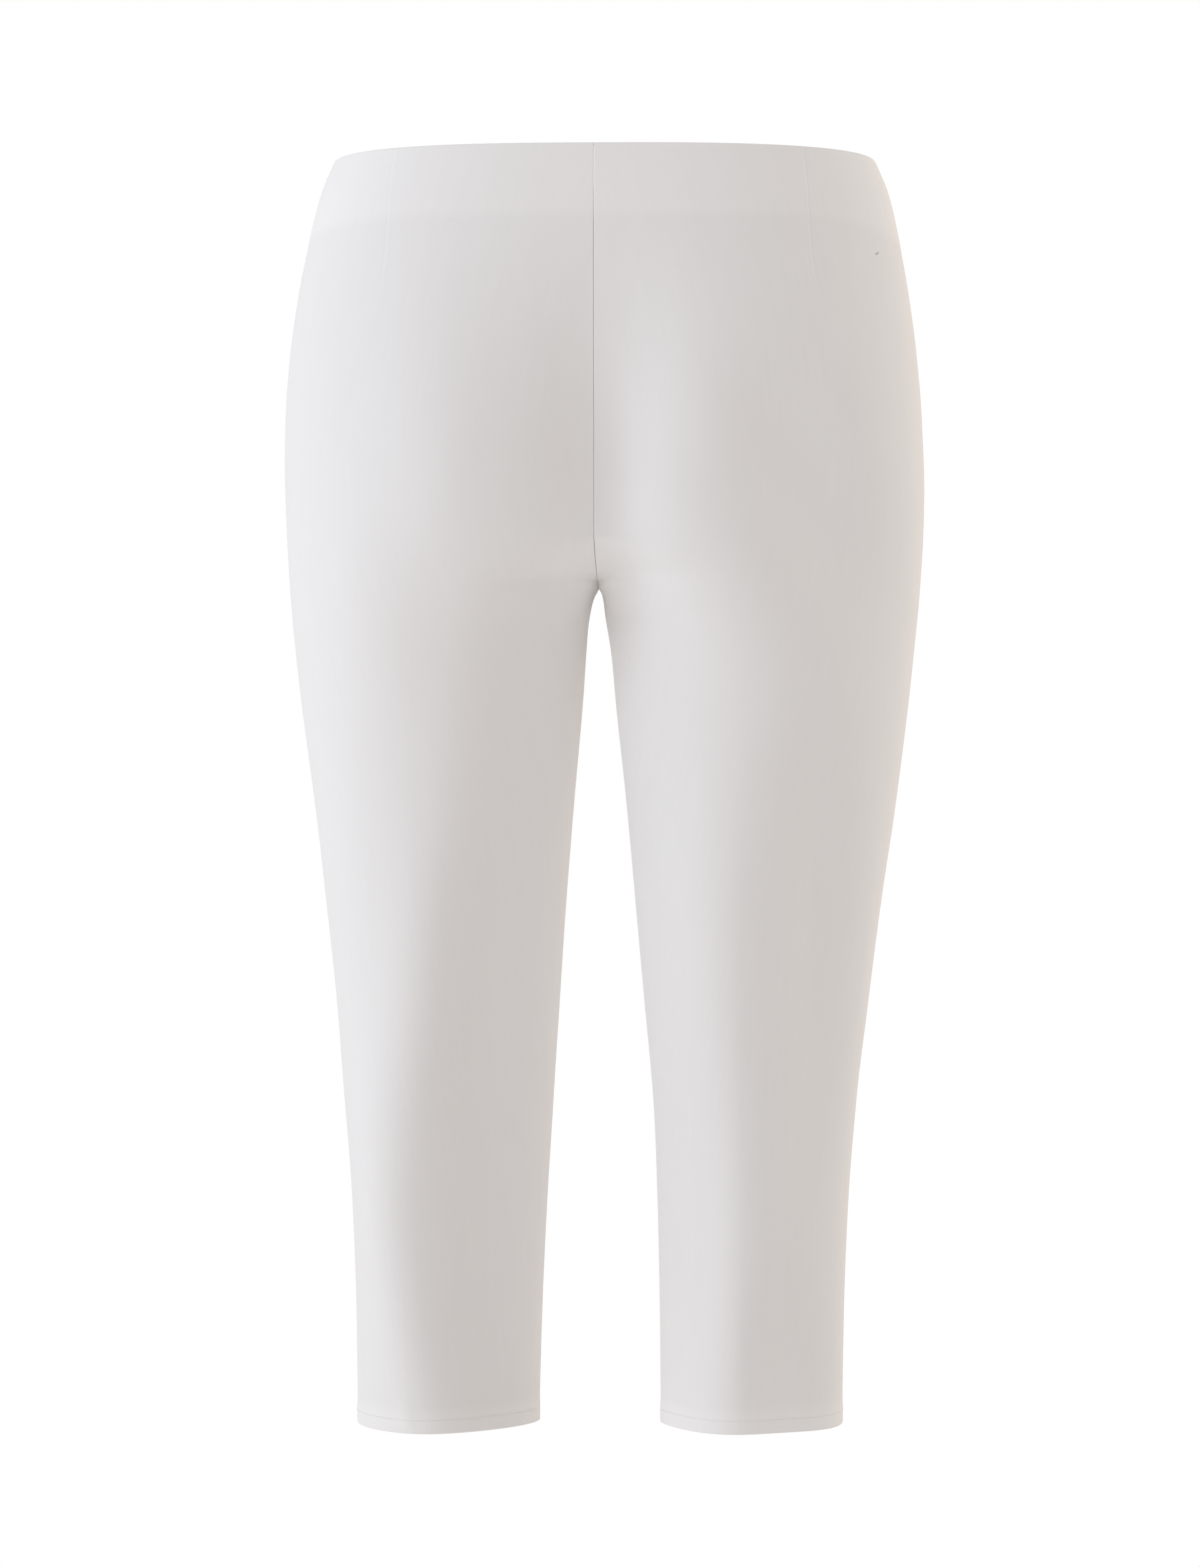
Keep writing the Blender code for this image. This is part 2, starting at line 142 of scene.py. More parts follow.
OUTLINE = table(
    "drop half_width lean",
    [
        (0.000, 0.1729, 0.0035),
        (0.020, 0.1813, 0.0034),
        (0.045, 0.1877, 0.0030),
        (0.085, 0.1956, 0.0025),
        (0.125, 0.2010, 0.0023),
        (0.165, 0.2040, 0.0025),
        (0.205, 0.2049, 0.0031),
        (0.235, 0.2041, 0.0034),
        (0.273, 0.2020, 0.0033),
        (0.317, 0.1979, 0.0031),
        (0.343, 0.1950, 0.0032),
        (0.407, 0.1867, 0.0034),
        (0.471, 0.1782, 0.0024),
        (0.536, 0.1705, 0.0017),
        (0.600, 0.1641, 0.0004),
        (0.664, 0.1591, 0.0003),
        (0.728, 0.1566, 0.0002),
        (0.806, 0.1554, 0.0000),
    ],
)
GAP = table(
    "drop gap_half gap_lean",
    [
        (0.273, 0.0000, 0.0002),
        (0.279, 0.0029, 0.0000),
        (0.292, 0.0050, -0.0003),
        (0.317, 0.0080, 0.0005),
        (0.343, 0.0104, 0.0009),
        (0.407, 0.0167, 0.0014),
        (0.471, 0.0222, 0.0016),
        (0.536, 0.0273, 0.0022),
        (0.600, 0.0322, 0.0029),
        (0.664, 0.0354, 0.0020),
        (0.728, 0.0376, 0.0010),
        (0.806, 0.0392, 0.0001),
    ],
)
SIDE_VIEW = table(
    "drop back front middle left_inseam right_inseam",
    [
        (0.000, 0.1170, 0.1120, 0.0000, 0.0000, 0.0000),
        (0.045, 0.1212, 0.1165, 0.0000, 0.0000, 0.0000),
        (0.085, 0.1252, 0.1188, 0.0000, 0.0000, 0.0000),
        (0.125, 0.1297, 0.1192, 0.0000, 0.0000, 0.0000),
        (0.165, 0.1336, 0.1178, 0.0000, -0.0050, -0.0050),
        (0.205, 0.1350, 0.1150, 0.0000, -0.0150, -0.0150),
        (0.235, 0.1324, 0.1122, 0.0000, -0.0250, -0.0250),
        (0.273, 0.1228, 0.1082, 0.0000, -0.0350, -0.0350),
        (0.310, 0.1104, 0.1052, -0.0004, -0.0330, -0.0530),
        (0.343, 0.1025, 0.1025, -0.0010, -0.0300, -0.0550),
        (0.407, 0.0923, 0.0965, -0.0017, -0.0270, -0.0480),
        (0.471, 0.0842, 0.0883, -0.0022, -0.0220, -0.0410),
        (0.536, 0.0774, 0.0795, -0.0030, -0.0160, -0.0330),
        (0.600, 0.0725, 0.0715, -0.0036, -0.0110, -0.0260),
        (0.664, 0.0692, 0.0650, -0.0036, -0.0070, -0.0200),
        (0.728, 0.0664, 0.0612, -0.0030, -0.0030, -0.0140),
        (0.806, 0.0636, 0.0596, -0.0020, 0.0000, -0.0060),
    ],
)
RING = table(
    "drop back_peak front_peak squareness inner_squareness left_edge right_edge",
    [
        (0.000, 0.0000, 0.0000, 2.75, 2.75, 2.75, 2.75),
        (0.045, 0.0100, 0.0020, 2.62, 2.62, 2.62, 2.62),
        (0.085, 0.0280, 0.0120, 2.50, 2.50, 2.50, 2.50),
        (0.125, 0.0470, 0.0280, 2.40, 2.40, 2.40, 2.40),
        (0.165, 0.0620, 0.0460, 2.32, 2.32, 2.32, 2.32),
        (0.205, 0.0740, 0.0620, 2.26, 2.26, 2.26, 2.26),
        (0.235, 0.0820, 0.0730, 2.23, 2.28, 2.28, 2.28),
        (0.273, 0.0910, 0.0860, 2.20, 2.32, 2.32, 2.32),
        (0.295, 0.0950, 0.0920, 2.18, 2.20, 1.70, 1.25),
        (0.317, 0.0980, 0.0960, 2.16, 2.08, 1.45, 1.05),
        (0.360, 0.1010, 0.1000, 2.14, 1.95, 1.30, 1.02),
        (0.407, 0.1015, 0.1010, 2.12, 1.88, 1.25, 1.00),
        (0.471, 0.1005, 0.1005, 2.10, 1.85, 1.22, 1.00),
        (0.536, 0.0992, 0.0992, 2.10, 1.85, 1.20, 1.00),
        (0.600, 0.0984, 0.0984, 2.10, 1.86, 1.20, 1.00),
        (0.728, 0.0973, 0.0973, 2.10, 1.90, 1.25, 1.10),
        (0.806, 0.0975, 0.0975, 2.10, 2.05, 1.40, 1.35),
    ],
)
CENTRE_SEAMS = table(
    "drop back_seam front_seam",
    [
        (0.000, 0.1170, 0.1120),
        (0.045, 0.1210, 0.1165),
        (0.085, 0.1248, 0.1186),
        (0.125, 0.1290, 0.1184),
        (0.165, 0.1322, 0.1160),
        (0.205, 0.1332, 0.1110),
        (0.235, 0.1305, 0.1050),
        (0.273, 0.1210, 0.0960),
    ],
)
TWIST = table(
    "drop left_twist right_twist",
    [
        (0.273, 0.0000, 0.0000),
        (0.343, 0.0010, -0.0040),
        (0.407, 0.0030, -0.0080),
        (0.500, 0.0090, -0.0110),
        (0.620, 0.0170, -0.0090),
        (0.720, 0.0150, -0.0050),
        (0.806, 0.0060, -0.0030),
    ],
)
SIZES = {**OUTLINE, **GAP, **SIDE_VIEW, **RING, **CENTRE_SEAMS, **TWIST}
print("sizes:", len(SIZES), "columns; rise", RISE * 1000, "mm, length", LENGTH * 1000, "mm")

# %% [markdown]
# ## The form
#
# A ring is four rounded quarters that meet at its deepest points and its widest points. Each quarter is a
# quarter of a superellipse: one formula gives anything from an oval to a soft rectangle, so a waist that is
# squarish in plan and a leg that is nearly round need no different code. The inner quarters of a leg are
# pressed flatter along the inner seam, and each leg is turned a little, as cloth is that hangs from full
# hips. Every later step asks this one surface where the cloth is and which way it faces, so nothing has to
# be fitted afterwards.

# %% Sizes at any height


def size_at(name, drop):
    """One size of the tables at any height, on a smooth curve through its rows."""
    drops, values, inclines = SIZES[name]
    drop = np.clip(drop, drops[0], drops[-1])
    i = np.clip(np.searchsorted(drops, drop, side="right") - 1, 0, len(drops) - 2)
    step = drops[i + 1] - drops[i]
    t = (drop - drops[i]) / step
    rest = 1 - t
    start = values[i] * (1 + 2 * t) * rest**2 + inclines[i] * step * t * rest**2
    end = values[i + 1] * t**2 * (3 - 2 * t) - inclines[i + 1] * step * t**2 * rest
    return start + end


def signed_power(value, power):
    return np.sign(value) * np.abs(value) ** power


def crotch_curve(drop):
    """The share of a centre seam's depth that is left as it curves under, from 1 to 0 at the crotch."""
    t = np.clip((drop - CURVE_START) / (RISE - CURVE_START), 0, 1)
    return (1 - t**CURVE_BEND) ** CURVE_END


def legs_size(name, side, drop):
    """A size that each leg has its own column for: right_edge and left_edge, for example."""
    return size_at(("right_" if side > 0 else "left_") + name, drop)


print("half the width 0.15 m down, mm:", round(1000 * float(size_at("half_width", 0.15)), 1))

# %% The surface of the cloth


def quarter_sizes(side, drop, at_back):
    """The inner quarter's depth, the peak's distance from the centre plane, and the reach from there in and
    out."""
    half = "back" if at_back else "front"
    middle = legs_size("inseam", side, drop) * (1 if at_back else -1)
    depth = size_at(half, drop) + middle
    twist = legs_size("twist", side, drop)
    peak = size_at(half + "_peak", drop) + (twist if at_back else -twist)
    outer = size_at("half_width", drop)
    at_seam = np.minimum((size_at(half + "_seam", drop) + middle) * crotch_curve(drop) / depth, 1)
    left = 1 - at_seam ** legs_size("edge", side, drop)
    share = np.maximum(left ** (1 / size_at("inner_squareness", drop)), 1e-9)
    above = np.maximum(RISE - drop, 0)
    to_plane = peak / share + CROTCH_SPREAD * above * np.exp(-above / CROTCH_REACH)
    inwards = np.where(drop < RISE, to_plane, peak - size_at("gap_half", drop))
    return depth, peak, inwards, outer - peak


def roundness(side, drop, inner):
    """How square a quarter is near its peak and towards its other end: 2 is an oval, more is squarer. An
    inner quarter has its own two numbers, because a leg is pressed flatter along its inner seam."""
    outer_square = size_at("squareness", drop)
    near_peak = np.where(inner, size_at("inner_squareness", drop), outer_square)
    return near_peak, np.where(inner, legs_size("edge", side, drop), outer_square)


def lean_at(drop, across):
    """How far the cloth leans towards +X, more towards the outer edges."""
    share = np.minimum(1, (across / size_at("half_width", drop)) ** 2)
    gap_lean = size_at("gap_lean", drop)
    return gap_lean + (size_at("lean", drop) - gap_lean) * share


def surface(side, drop, turn):
    """Points on the cloth's outer face. turn is 0 at the inner end of the ring, 1 at the outer edge by way
    of the back, and 2 at the inner end again by way of the front. side is 1 for the wearer's right leg,
    -1 for the left."""
    drop, turn = np.broadcast_arrays(np.asarray(drop, float), np.asarray(turn, float) % 2)
    at_back = turn <= 1
    sizes = zip(quarter_sizes(side, drop, True), quarter_sizes(side, drop, False))
    depth, peak, inwards, outwards = (np.where(at_back, back, front) for back, front in sizes)
    angle = math.pi * np.where(at_back, turn, 2 - turn)
    inner = angle < math.pi / 2
    near_peak, near_edge = roundness(side, drop, inner)
    swing = signed_power(np.cos(angle), 2 / near_peak)
    across = peak - swing * np.where(inner, inwards, outwards)
    middle = size_at("middle", drop)
    outer_depth = np.where(at_back, size_at("back", drop) + middle, size_at("front", drop) - middle)
    away = np.where(inner, depth, outer_depth) * np.abs(np.sin(angle)) ** (2 / near_edge)
    x = side * across + lean_at(drop, across)
    y = np.where(inner, legs_size("inseam", side, drop), middle) + np.where(at_back, -away, away)
    return np.stack([x, y, -drop], axis=-1)


def turn_at(side, drop, x, at_back):
    """The turn of the point of a ring that lies at a given x."""
    depth, peak, inwards, outwards = quarter_sizes(side, drop, at_back)
    across = side * (x - lean_at(drop, abs(x)))
    reach = np.where(across < peak, inwards, outwards)
    swing = np.clip((peak - across) / reach, -1, 1)
    turn = np.arccos(signed_power(swing, roundness(side, drop, swing > 0)[0] / 2)) / math.pi
    return turn if at_back else 2 - turn


hip = surface(1, 0.205, 1.0)
shin = surface(1, 0.728, 0.5)
print("mm: half the hip's width", round(1000 * hip[0]), "and the shin's depth behind", round(-1000 * shin[1]))

# %% The way out of the cloth
TURN_STEP = 0.003  # steps round the ring and down it, to find which way the cloth faces
DROP_STEP = 0.0015
RIDGE_STEP = 0.030
RIDGE_START = 0.018
RIDGE_REACH = 0.045


def straight_out(side, drop, turn, step):
    """The direction straight out of the smooth cloth."""
    round_ring = surface(side, drop, turn + step) - surface(side, drop, turn - step)
    above, below = np.maximum(drop - DROP_STEP, 0), np.minimum(drop + DROP_STEP, LENGTH)
    down_cloth = surface(side, below, turn) - surface(side, above, turn)
    direction = np.cross(round_ring, down_cloth) * -side
    return direction / np.linalg.norm(direction, axis=-1, keepdims=True)


def outward(side, drop, turn):
    """The direction out of the cloth, the same on both sides of a seam. The inner edge of a leg is a soft
    ridge, so near it the direction turns over to that of the ridge."""
    at_ridge = straight_out(side, drop, np.zeros_like(turn), RIDGE_STEP)
    share = np.clip((np.minimum(turn, 2 - turn) - RIDGE_START) / RIDGE_REACH, 0, 1)[..., None]
    direction = at_ridge * (1 - share) + straight_out(side, drop, turn, TURN_STEP) * share
    return direction / np.linalg.norm(direction, axis=-1, keepdims=True)


print("out of the right seat:", np.round(outward(1, np.array([0.205]), np.array([0.5]))[0], 2))

# %% [markdown]
# ## How finely each panel is divided
#
# Faces are spent where light changes quickly. Along both seams the cloth rolls in within a millimetre, so
# the columns there are a fraction of a millimetre apart, and another close set follows the dart. Between
# them the cloth is smooth and 3 mm is enough. The rows do the same at the waist edge, the facing's edge, the
# crotch and the hem.

# %% Rows
EDGE_STEPS = np.array([0, 0.10, 0.25, 0.45, 0.70, 1.00, 1.40, 2.00, 3.00, 4.40]) / 1000
CROWDED_FROM = 0.261  # from this drop the rows close up towards the crotch
CROTCH_ROWS = 16


def spaced(start, end, step):
    """Heights from start up to but not including end, about a step apart."""
    return np.linspace(start, end, max(1, round((end - start) / step)), endpoint=False)


def row_drops():
    share = np.linspace(1, 0, CROTCH_ROWS, endpoint=False) * crotch_curve(CROWDED_FROM)
    to_crotch = CURVE_START + (RISE - CURVE_START) * (1 - share ** (1 / CURVE_END)) ** (1 / CURVE_BEND)
    return np.concatenate(
        [
            EDGE_STEPS[:-1],
            spaced(0.003, 0.036, 0.0028),
            spaced(0.036, 0.056, 0.0009),
            spaced(0.056, CURVE_START, 0.0036),
            spaced(CURVE_START, CROWDED_FROM, 0.0020),
            to_crotch,
            RISE + spaced(0.0, 0.006, 0.0006),
            spaced(RISE + 0.006, 0.300, 0.0014),
            spaced(0.300, HEM_TOP - 0.008, 0.0036),
            spaced(HEM_TOP - 0.008, HEM_LINE - 0.0012, 0.0009),
            spaced(HEM_LINE - 0.0012, HEM_LINE + 0.0012, 0.0003),
            spaced(HEM_LINE + 0.0012, LENGTH - EDGE_STEPS[-1], 0.0008),
            LENGTH - EDGE_STEPS[::-1],
        ]
    )


DROPS = row_drops()
print("rows:", len(DROPS))

# %% Columns
OUTER_COLUMNS = 46  # between the side seam and the dart
INNER_COLUMNS = 42  # between the dart and the inner seam
CROWDING = 1.35  # how much the columns close up towards the dart
DART_STEPS = np.array([0.25, 0.50, 0.80, 1.20, 1.80, 2.60]) / 1000
DART_STEPS = np.concatenate([-DART_STEPS[::-1], [0], DART_STEPS])
EVEN_REACH = 0.03  # heights over which the columns' spacing is evened out
WALK_STEPS = 900

# The waist darts: at each drop, how far from the side seam they run. Below its end a dart only places the
# columns.
DART_LINE = table(
    "drop left_dart right_dart",
    [
        (0.000, 0.1260, 0.1260),
        (0.030, 0.1335, 0.1340),
        (0.087, 0.1430, 0.1410),
        (0.273, 0.1250, 0.1250),
        (0.500, 0.0900, 0.0900),
        (0.806, 0.0700, 0.0700),
    ],
)
SIZES.update(DART_LINE)


def first_turn(side, drops, at_back):
    """The turn at which a panel begins: at the centre plane above the crotch, and at the inseam below it."""
    depth, peak, inwards, outwards = quarter_sizes(side, drops, at_back)
    to_plane = peak - SEAM_GAP / 2
    swing = np.clip(to_plane / np.where(to_plane > 0, inwards, outwards), -1, 1)
    at_plane = np.arccos(signed_power(swing, size_at("inner_squareness", drops) / 2))
    at_inseam = np.arcsin((SEAM_GAP / 2 / depth) ** (legs_size("edge", side, drops) / 2))
    turn = np.maximum(at_plane, at_inseam) / math.pi
    return turn if at_back else 2 - turn


def evened_out(drops, lengths):
    """Lengths round the rings, averaged over the heights nearby."""
    spacing = np.gradient(drops)
    weights = np.exp(-(((drops[:, None] - drops[None]) / EVEN_REACH) ** 2)) * spacing
    return weights @ lengths / weights.sum(axis=1)


def walk_rings(side, at_back):
    """Each ring walked from its inner end to the side seam: the turns, and the way come so far."""
    fine = np.linspace(first_turn(side, DROPS, at_back), SIDE_SEAM, WALK_STEPS, axis=1)
    steps = np.linalg.norm(np.diff(surface(side, DROPS[:, None], fine), axis=1), axis=2)
    way = np.concatenate([np.zeros((len(DROPS), 1)), np.cumsum(steps, axis=1)], axis=1)
    return fine, way


def column_places(side, whole):
    """How far each column lies from the side seam, a row for each height. The last columns keep to the inner
    seam."""
    edge = EDGE_STEPS[-1]
    even = evened_out(DROPS, whole)
    dart = legs_size("dart", side, DROPS)
    half = DART_STEPS[-1]
    to_dart = 1 - (1 - np.linspace(0, 1, OUTER_COLUMNS)[:-1]) ** CROWDING
    from_dart = np.linspace(0, 1, INNER_COLUMNS + 1)[1:] ** CROWDING
    outer = edge + np.outer(dart - half - edge, to_dart)
    inner = (dart + half)[:, None] + np.outer(even - edge - half - dart, from_dart)
    inner += np.outer(whole - even, from_dart**4)
    first = np.tile(EDGE_STEPS[:-1], (len(DROPS), 1))
    last = whole[:, None] - EDGE_STEPS[:-1][::-1]
    return np.concatenate([first, outer, dart[:, None] + DART_STEPS, inner, last], axis=1)


print("columns along a dart:", len(DART_STEPS))

# %% The panels before any fold
Sheet = namedtuple("Sheet", "side at_back drop turn from_side from_inner points out")


def side_dip(drop, x):
    """Rows near the facing's lower edge hang a little lower towards the side seams, as that edge does."""
    near_edge = np.exp(-DIP_FADE * ((drop - FACING_DEPTH) / FACING_DEPTH) ** 2)
    return FACING_SIDE_DIP * near_edge * (x / size_at("half_width", drop)) ** DIP_BEND


def panel_sheet(side, at_back):
    """One panel's smooth surface, with no folds yet: a row for each height, from the side seam to the inner
    seam."""
    fine, way = walk_rings(side, at_back)
    whole = way[:, -1] - SEAM_GAP / 2
    from_side = column_places(side, whole)
    turn = np.array([np.interp(w - row, t, f) for w, row, t, f in zip(whole, from_side, way, fine)])
    level = DROPS[:, None] + np.zeros_like(turn)
    dipped = level + side_dip(level, surface(side, level, turn)[..., 0])
    points, out = surface(side, dipped, turn), outward(side, dipped, turn)
    return Sheet(side, at_back, level, turn, from_side, whole[:, None] - from_side, points, out)


SHEETS = {(side, at_back): panel_sheet(side, at_back) for at_back in (True, False) for side in (-1, 1)}
back_right = SHEETS[1, True]
print("a panel has", back_right.points.shape[0], "rows of", back_right.points.shape[1], "points")
print("closest columns, mm:", round(1000 * float(np.diff(back_right.from_side, axis=1).min()), 3))

# %% [markdown]
# ## Folds
#
# Firm cloth on a full seat and legs has few folds, and they are broad and soft. Each is a line on the cloth
# with a width and a height: the cloth is pushed out or in along that line by a bell-shaped amount that dies
# away at both ends. Summing round bells along the line gives a fold with no corner anywhere, which a
# displacement texture or a sculpted stroke would not promise.

# %% Folds of the back
Fold = namedtuple("Fold", "side x1 drop1 x2 drop2 x3 drop3 width height")

# Millimetres. side is -1 or 1 for one leg, 0 for both. A fold runs from point 1, past point 2, to point 3.
# Its x is seen from behind, and a height below 0 is a trough.
BACK_FOLDS = [
    # left leg, from the seat down: a soft crest, the hollow beside the seam, the calf's crest and its long
    # hollow
    Fold(-1, -97, 50, -98, 155, -106, 250, 34, 3.2),
    Fold(-1, -141, 240, -135, 294, -132, 370, 32, 3.2),
    Fold(-1, -84, 150, -86, 215, -84, 290, 34, 3.5),
    Fold(-1, -30, 240, -48, 285, -56, 350, 28, -2.6),
    Fold(-1, -108, 410, -112, 560, -136, 720, 24, 5.5),
    Fold(-1, -140, 540, -142, 700, -84, 900, 22, 5.5),
    Fold(-1, -46, 330, -82, 640, -64, 880, 26, -4.6),
    Fold(-1, -120, 782, -119, 794, -118, 806, 5, 0.8),
    # right leg: the hollow and crest beside the centre seam, which pass over to the left one a little, the
    # hollow under the seat, the thigh's crest, the calf's marks
    Fold(0, 10, 60, 10, 215, 6, 305, 42, -17.5),
    Fold(0, 19, 130, 19, 220, 17, 290, 20, -4.5),
    Fold(1, 36, 190, 74, 206, 125, 236, 26, -4.0),
    Fold(1, 104, 130, 136, 214, 178, 304, 46, -22.0),
    Fold(1, 60, 340, 74, 480, 66, 660, 30, 5.5),
    Fold(1, 140, 330, 148, 480, 124, 700, 26, -8.0),
    Fold(1, 88, 600, 92, 720, 66, 880, 26, 4.0),
    Fold(1, 118, 700, 124, 760, 120, 850, 28, -7.5),
]
FRONT_FOLDS = [
    # creases that fan out from the crotch, hollows at the knees, crests down the shins
    Fold(-1, -12, 232, -52, 205, -112, 158, 14, 2.0),
    Fold(-1, -18, 250, -60, 258, -118, 282, 17, -1.9),
    Fold(1, 14, 236, 60, 214, 124, 176, 15, 1.8),
    Fold(1, 20, 252, 58, 266, 122, 300, 18, -2.2),
    Fold(-1, -52, 470, -90, 492, -134, 470, 22, -2.4),
    Fold(1, 48, 496, 92, 520, 140, 492, 24, -2.8),
    Fold(-1, -92, 520, -98, 680, -90, 870, 26, 3.0),
    Fold(1, 84, 540, 104, 690, 96, 870, 28, 3.2),
    Fold(1, 132, 660, 138, 720, 120, 800, 20, -2.2),
]
print("folds:", len(BACK_FOLDS), "at the back,", len(FRONT_FOLDS), "in front")

# %% The amount that the folds push the cloth
SEAM_KEPT = 0.014  # how near to the centre plane
FOLD_STEPS = 60
FOLD_REACH = 3  # widths beyond which a fold pushes nothing


def cloth_point(x, drop, at_back):
    """The point on the smooth cloth at a given x and drop."""
    side = 1 if x > 0 else -1
    drop = np.asarray(drop, float)
    return surface(side, drop, turn_at(side, drop, x, at_back))


def fold_line(fold, at_back):
    """Points along a fold, closer together than it is wide, with the way that each stands for."""
    t = np.linspace(0, 1, FOLD_STEPS)[:, None]
    a, b, c = (np.array([fold[i] / 1000, fold[i + 1] / 1000]) for i in (1, 3, 5))
    flat = a * (1 - t) ** 2 + b * 2 * t * (1 - t) + c * t**2
    line = np.array([cloth_point(x, drop, at_back) for x, drop in flat])
    ways = np.gradient(line, axis=0)
    return line, np.linalg.norm(ways, axis=1) * np.sin(math.pi * t[:, 0])


def folds_on(sheet):
    """How far each point is pushed out by all folds together, in metres."""
    pushed = np.zeros(sheet.drop.shape)
    for at_back, folds in ((True, BACK_FOLDS), (False, FRONT_FOLDS)):
        for fold in folds:
            if fold.side == -sheet.side:
                continue
            width, height = fold.width / 1000, fold.height / 1000
            line, shares = fold_line(fold, at_back)
            reach = FOLD_REACH * width
            near = (DROPS > -line[:, 2].max() - reach) & (DROPS < -line[:, 2].min() + reach)
            for place, share in zip(line, shares):
                squared = ((sheet.points[near] - place) ** 2).sum(axis=-1)
                pushed[near] += height * share / width / math.sqrt(math.pi) * np.exp(-squared / width**2)
    return pushed


def folded(sheet):
    """The sheet with its folds. Near the centre seams the push goes straight back or forward, so they stay
    shut."""
    direction = sheet.out.copy()
    direction[..., 0] *= 1 - np.exp(-((sheet.points[..., 0] / SEAM_KEPT) ** 2))
    return sheet._replace(points=sheet.points + direction * folds_on(sheet)[..., None])


SHEETS = {key: folded(sheet) for key, sheet in SHEETS.items()}
print("deepest point of the seat, mm:", round(1000 * float(SHEETS[1, True].points[..., 1].min()), 1))

# %% [markdown]
# ## Seams, facing ridge, darts and hem
#
# Where two panels are sewn, both roll in to the stitches, so the seam is a thin dark valley and not a
# painted line. The facing's lower edge presses through as a low step. The dart's fold shows as a hair-thin
# ridge beside a hair-thin groove. The hem is two layers, so it stands proud, and its bottom is a rounded
# fold. All of these are small pushes along the cloth's own direction, added to the folds before the mesh is
# made.

# %% Small shapes
SEAM_ROLL = 0.0005  # radius of the roll along a seam
FOLD_ROLL = 0.00115  # radius of the folded waist and hem edges
FACING_RISE = 0.00035
FACING_SOFTNESS = 0.0045
HEM_RISE = 0.0005
HEM_SHOWS = 0.013  # height of the hem that stands proud
HEM_SOFTNESS = 0.004
HEM_GROOVE = 0.00009  # how deep the stitches pull the hem in
DART_END = 0.087
DART_FADE = 0.004
DART_GROOVE = 0.00025
GROOVE_WIDTH = 0.0005
DART_RIDGE = 0.00021
RIDGE_WIDTH = 0.0011
RIDGE_BESIDE = 0.0016  # from the groove to the ridge
DIMPLE = 0.00022
DIMPLE_WIDTH = 0.0026
LEFT_DART = 0.4  # how much of this the left dart shows


def roll(distance, radius):
    """How far cloth has turned in at a distance from a rolled edge."""
    left = radius - np.clip(distance, 0, radius)
    return radius - np.sqrt(np.maximum(radius**2 - left**2, 0))


def soft_step(value, middle, softness):
    """0 well before the middle and 1 well after it."""
    return 0.5 + 0.5 * np.tanh((value - middle) / softness)


def bell(distance, width):
    return np.exp(-((distance / width) ** 2))


def dart_shape(sheet):
    """A hair-thin groove with a low ridge beside it, and a small dimple where the dart ends. The left one is
    flatter."""
    if not sheet.at_back:
        return 0
    beside = sheet.from_side - legs_size("dart", sheet.side, sheet.drop)
    above_end = 1 - soft_step(sheet.drop, DART_END, DART_FADE)
    ridge = DART_RIDGE * bell(beside - RIDGE_BESIDE, RIDGE_WIDTH)
    groove = DART_GROOVE * bell(beside, GROOVE_WIDTH)
    dimple = DIMPLE * bell(np.hypot(beside, sheet.drop - DART_END), DIMPLE_WIDTH)
    return ((ridge - groove) * above_end - dimple) * (1 if sheet.side > 0 else LEFT_DART)


def small_shapes(sheet):
    seams = roll(sheet.from_side, SEAM_ROLL) + roll(sheet.from_inner, SEAM_ROLL)
    edges = roll(sheet.drop, FOLD_ROLL) + roll(LENGTH - sheet.drop, FOLD_ROLL)
    facing = FACING_RISE * (1 - soft_step(sheet.drop, FACING_DEPTH, FACING_SOFTNESS))
    hem = HEM_RISE * soft_step(sheet.drop, LENGTH - HEM_SHOWS, HEM_SOFTNESS)
    stitches = HEM_GROOVE * bell(sheet.drop - HEM_LINE, GROOVE_WIDTH)
    return facing + hem + dart_shape(sheet) - stitches - np.maximum(seams, edges)


print("mm the facing and the hem stand proud:", 1000 * FACING_RISE, 1000 * HEM_RISE)

# %% [markdown]
# ## From sheet to closed cloth
#
# Cloth that is seen from outside, from above and up a leg needs two faces and an edge. A Solidify modifier
# would do, but where two panels meet its edges tilt with the rolled seam and cut into each other. So the
# outer and the inner face are two grids that share their columns, the inner one pushed in by the wall, and
# bridge_loops closes the edge between them. At the hem the inner face is two layers deep.

# %% Make a closed piece from two faces


def add_piece(name, bm):
    """The finished bmesh as an object of the scene."""
    mesh = bpy.data.meshes.new(name)
    bm.to_mesh(mesh)
    bm.free()
    return add_object(name, mesh)


def add_cloth(name, outer_face, inner_face, places):
    """A closed mesh between two grids of points. places are the flat cloth's own coordinates, kept as its UV
    map."""
    rows, columns = outer_face.shape[:2]
    bm = bmesh.new()
    for points in (outer_face, inner_face):
        grid = bmesh.ops.create_grid(bm, x_segments=columns - 1, y_segments=rows - 1, size=1.0)
        for vert, point in zip(grid["verts"], points.reshape(-1, 3)):
            vert.co = point
    bmesh.ops.bridge_loops(bm, edges=[edge for edge in bm.edges if edge.is_boundary])
    bmesh.ops.recalc_face_normals(bm, faces=bm.faces)
    piece = add_piece(name, bm)
    mesh = piece.data
    corners = np.zeros(len(mesh.loops), int)
    mesh.loops.foreach_get("vertex_index", corners)
    flat = np.tile(places.reshape(-1, 2), (2, 1))[corners]
    mesh.uv_layers.new(name="cloth").uv.foreach_set("vector", flat.ravel().astype(np.float32))
    mesh.shade_smooth()
    mesh.set_sharp_from_angle(angle=math.radians(60))
    return piece


def triangles(piece):
    return sum(len(face.vertices) - 2 for face in piece.data.polygons)


def panel_name(side, at_back):
    return ("back_" if at_back else "front_") + ("right" if side > 0 else "left")


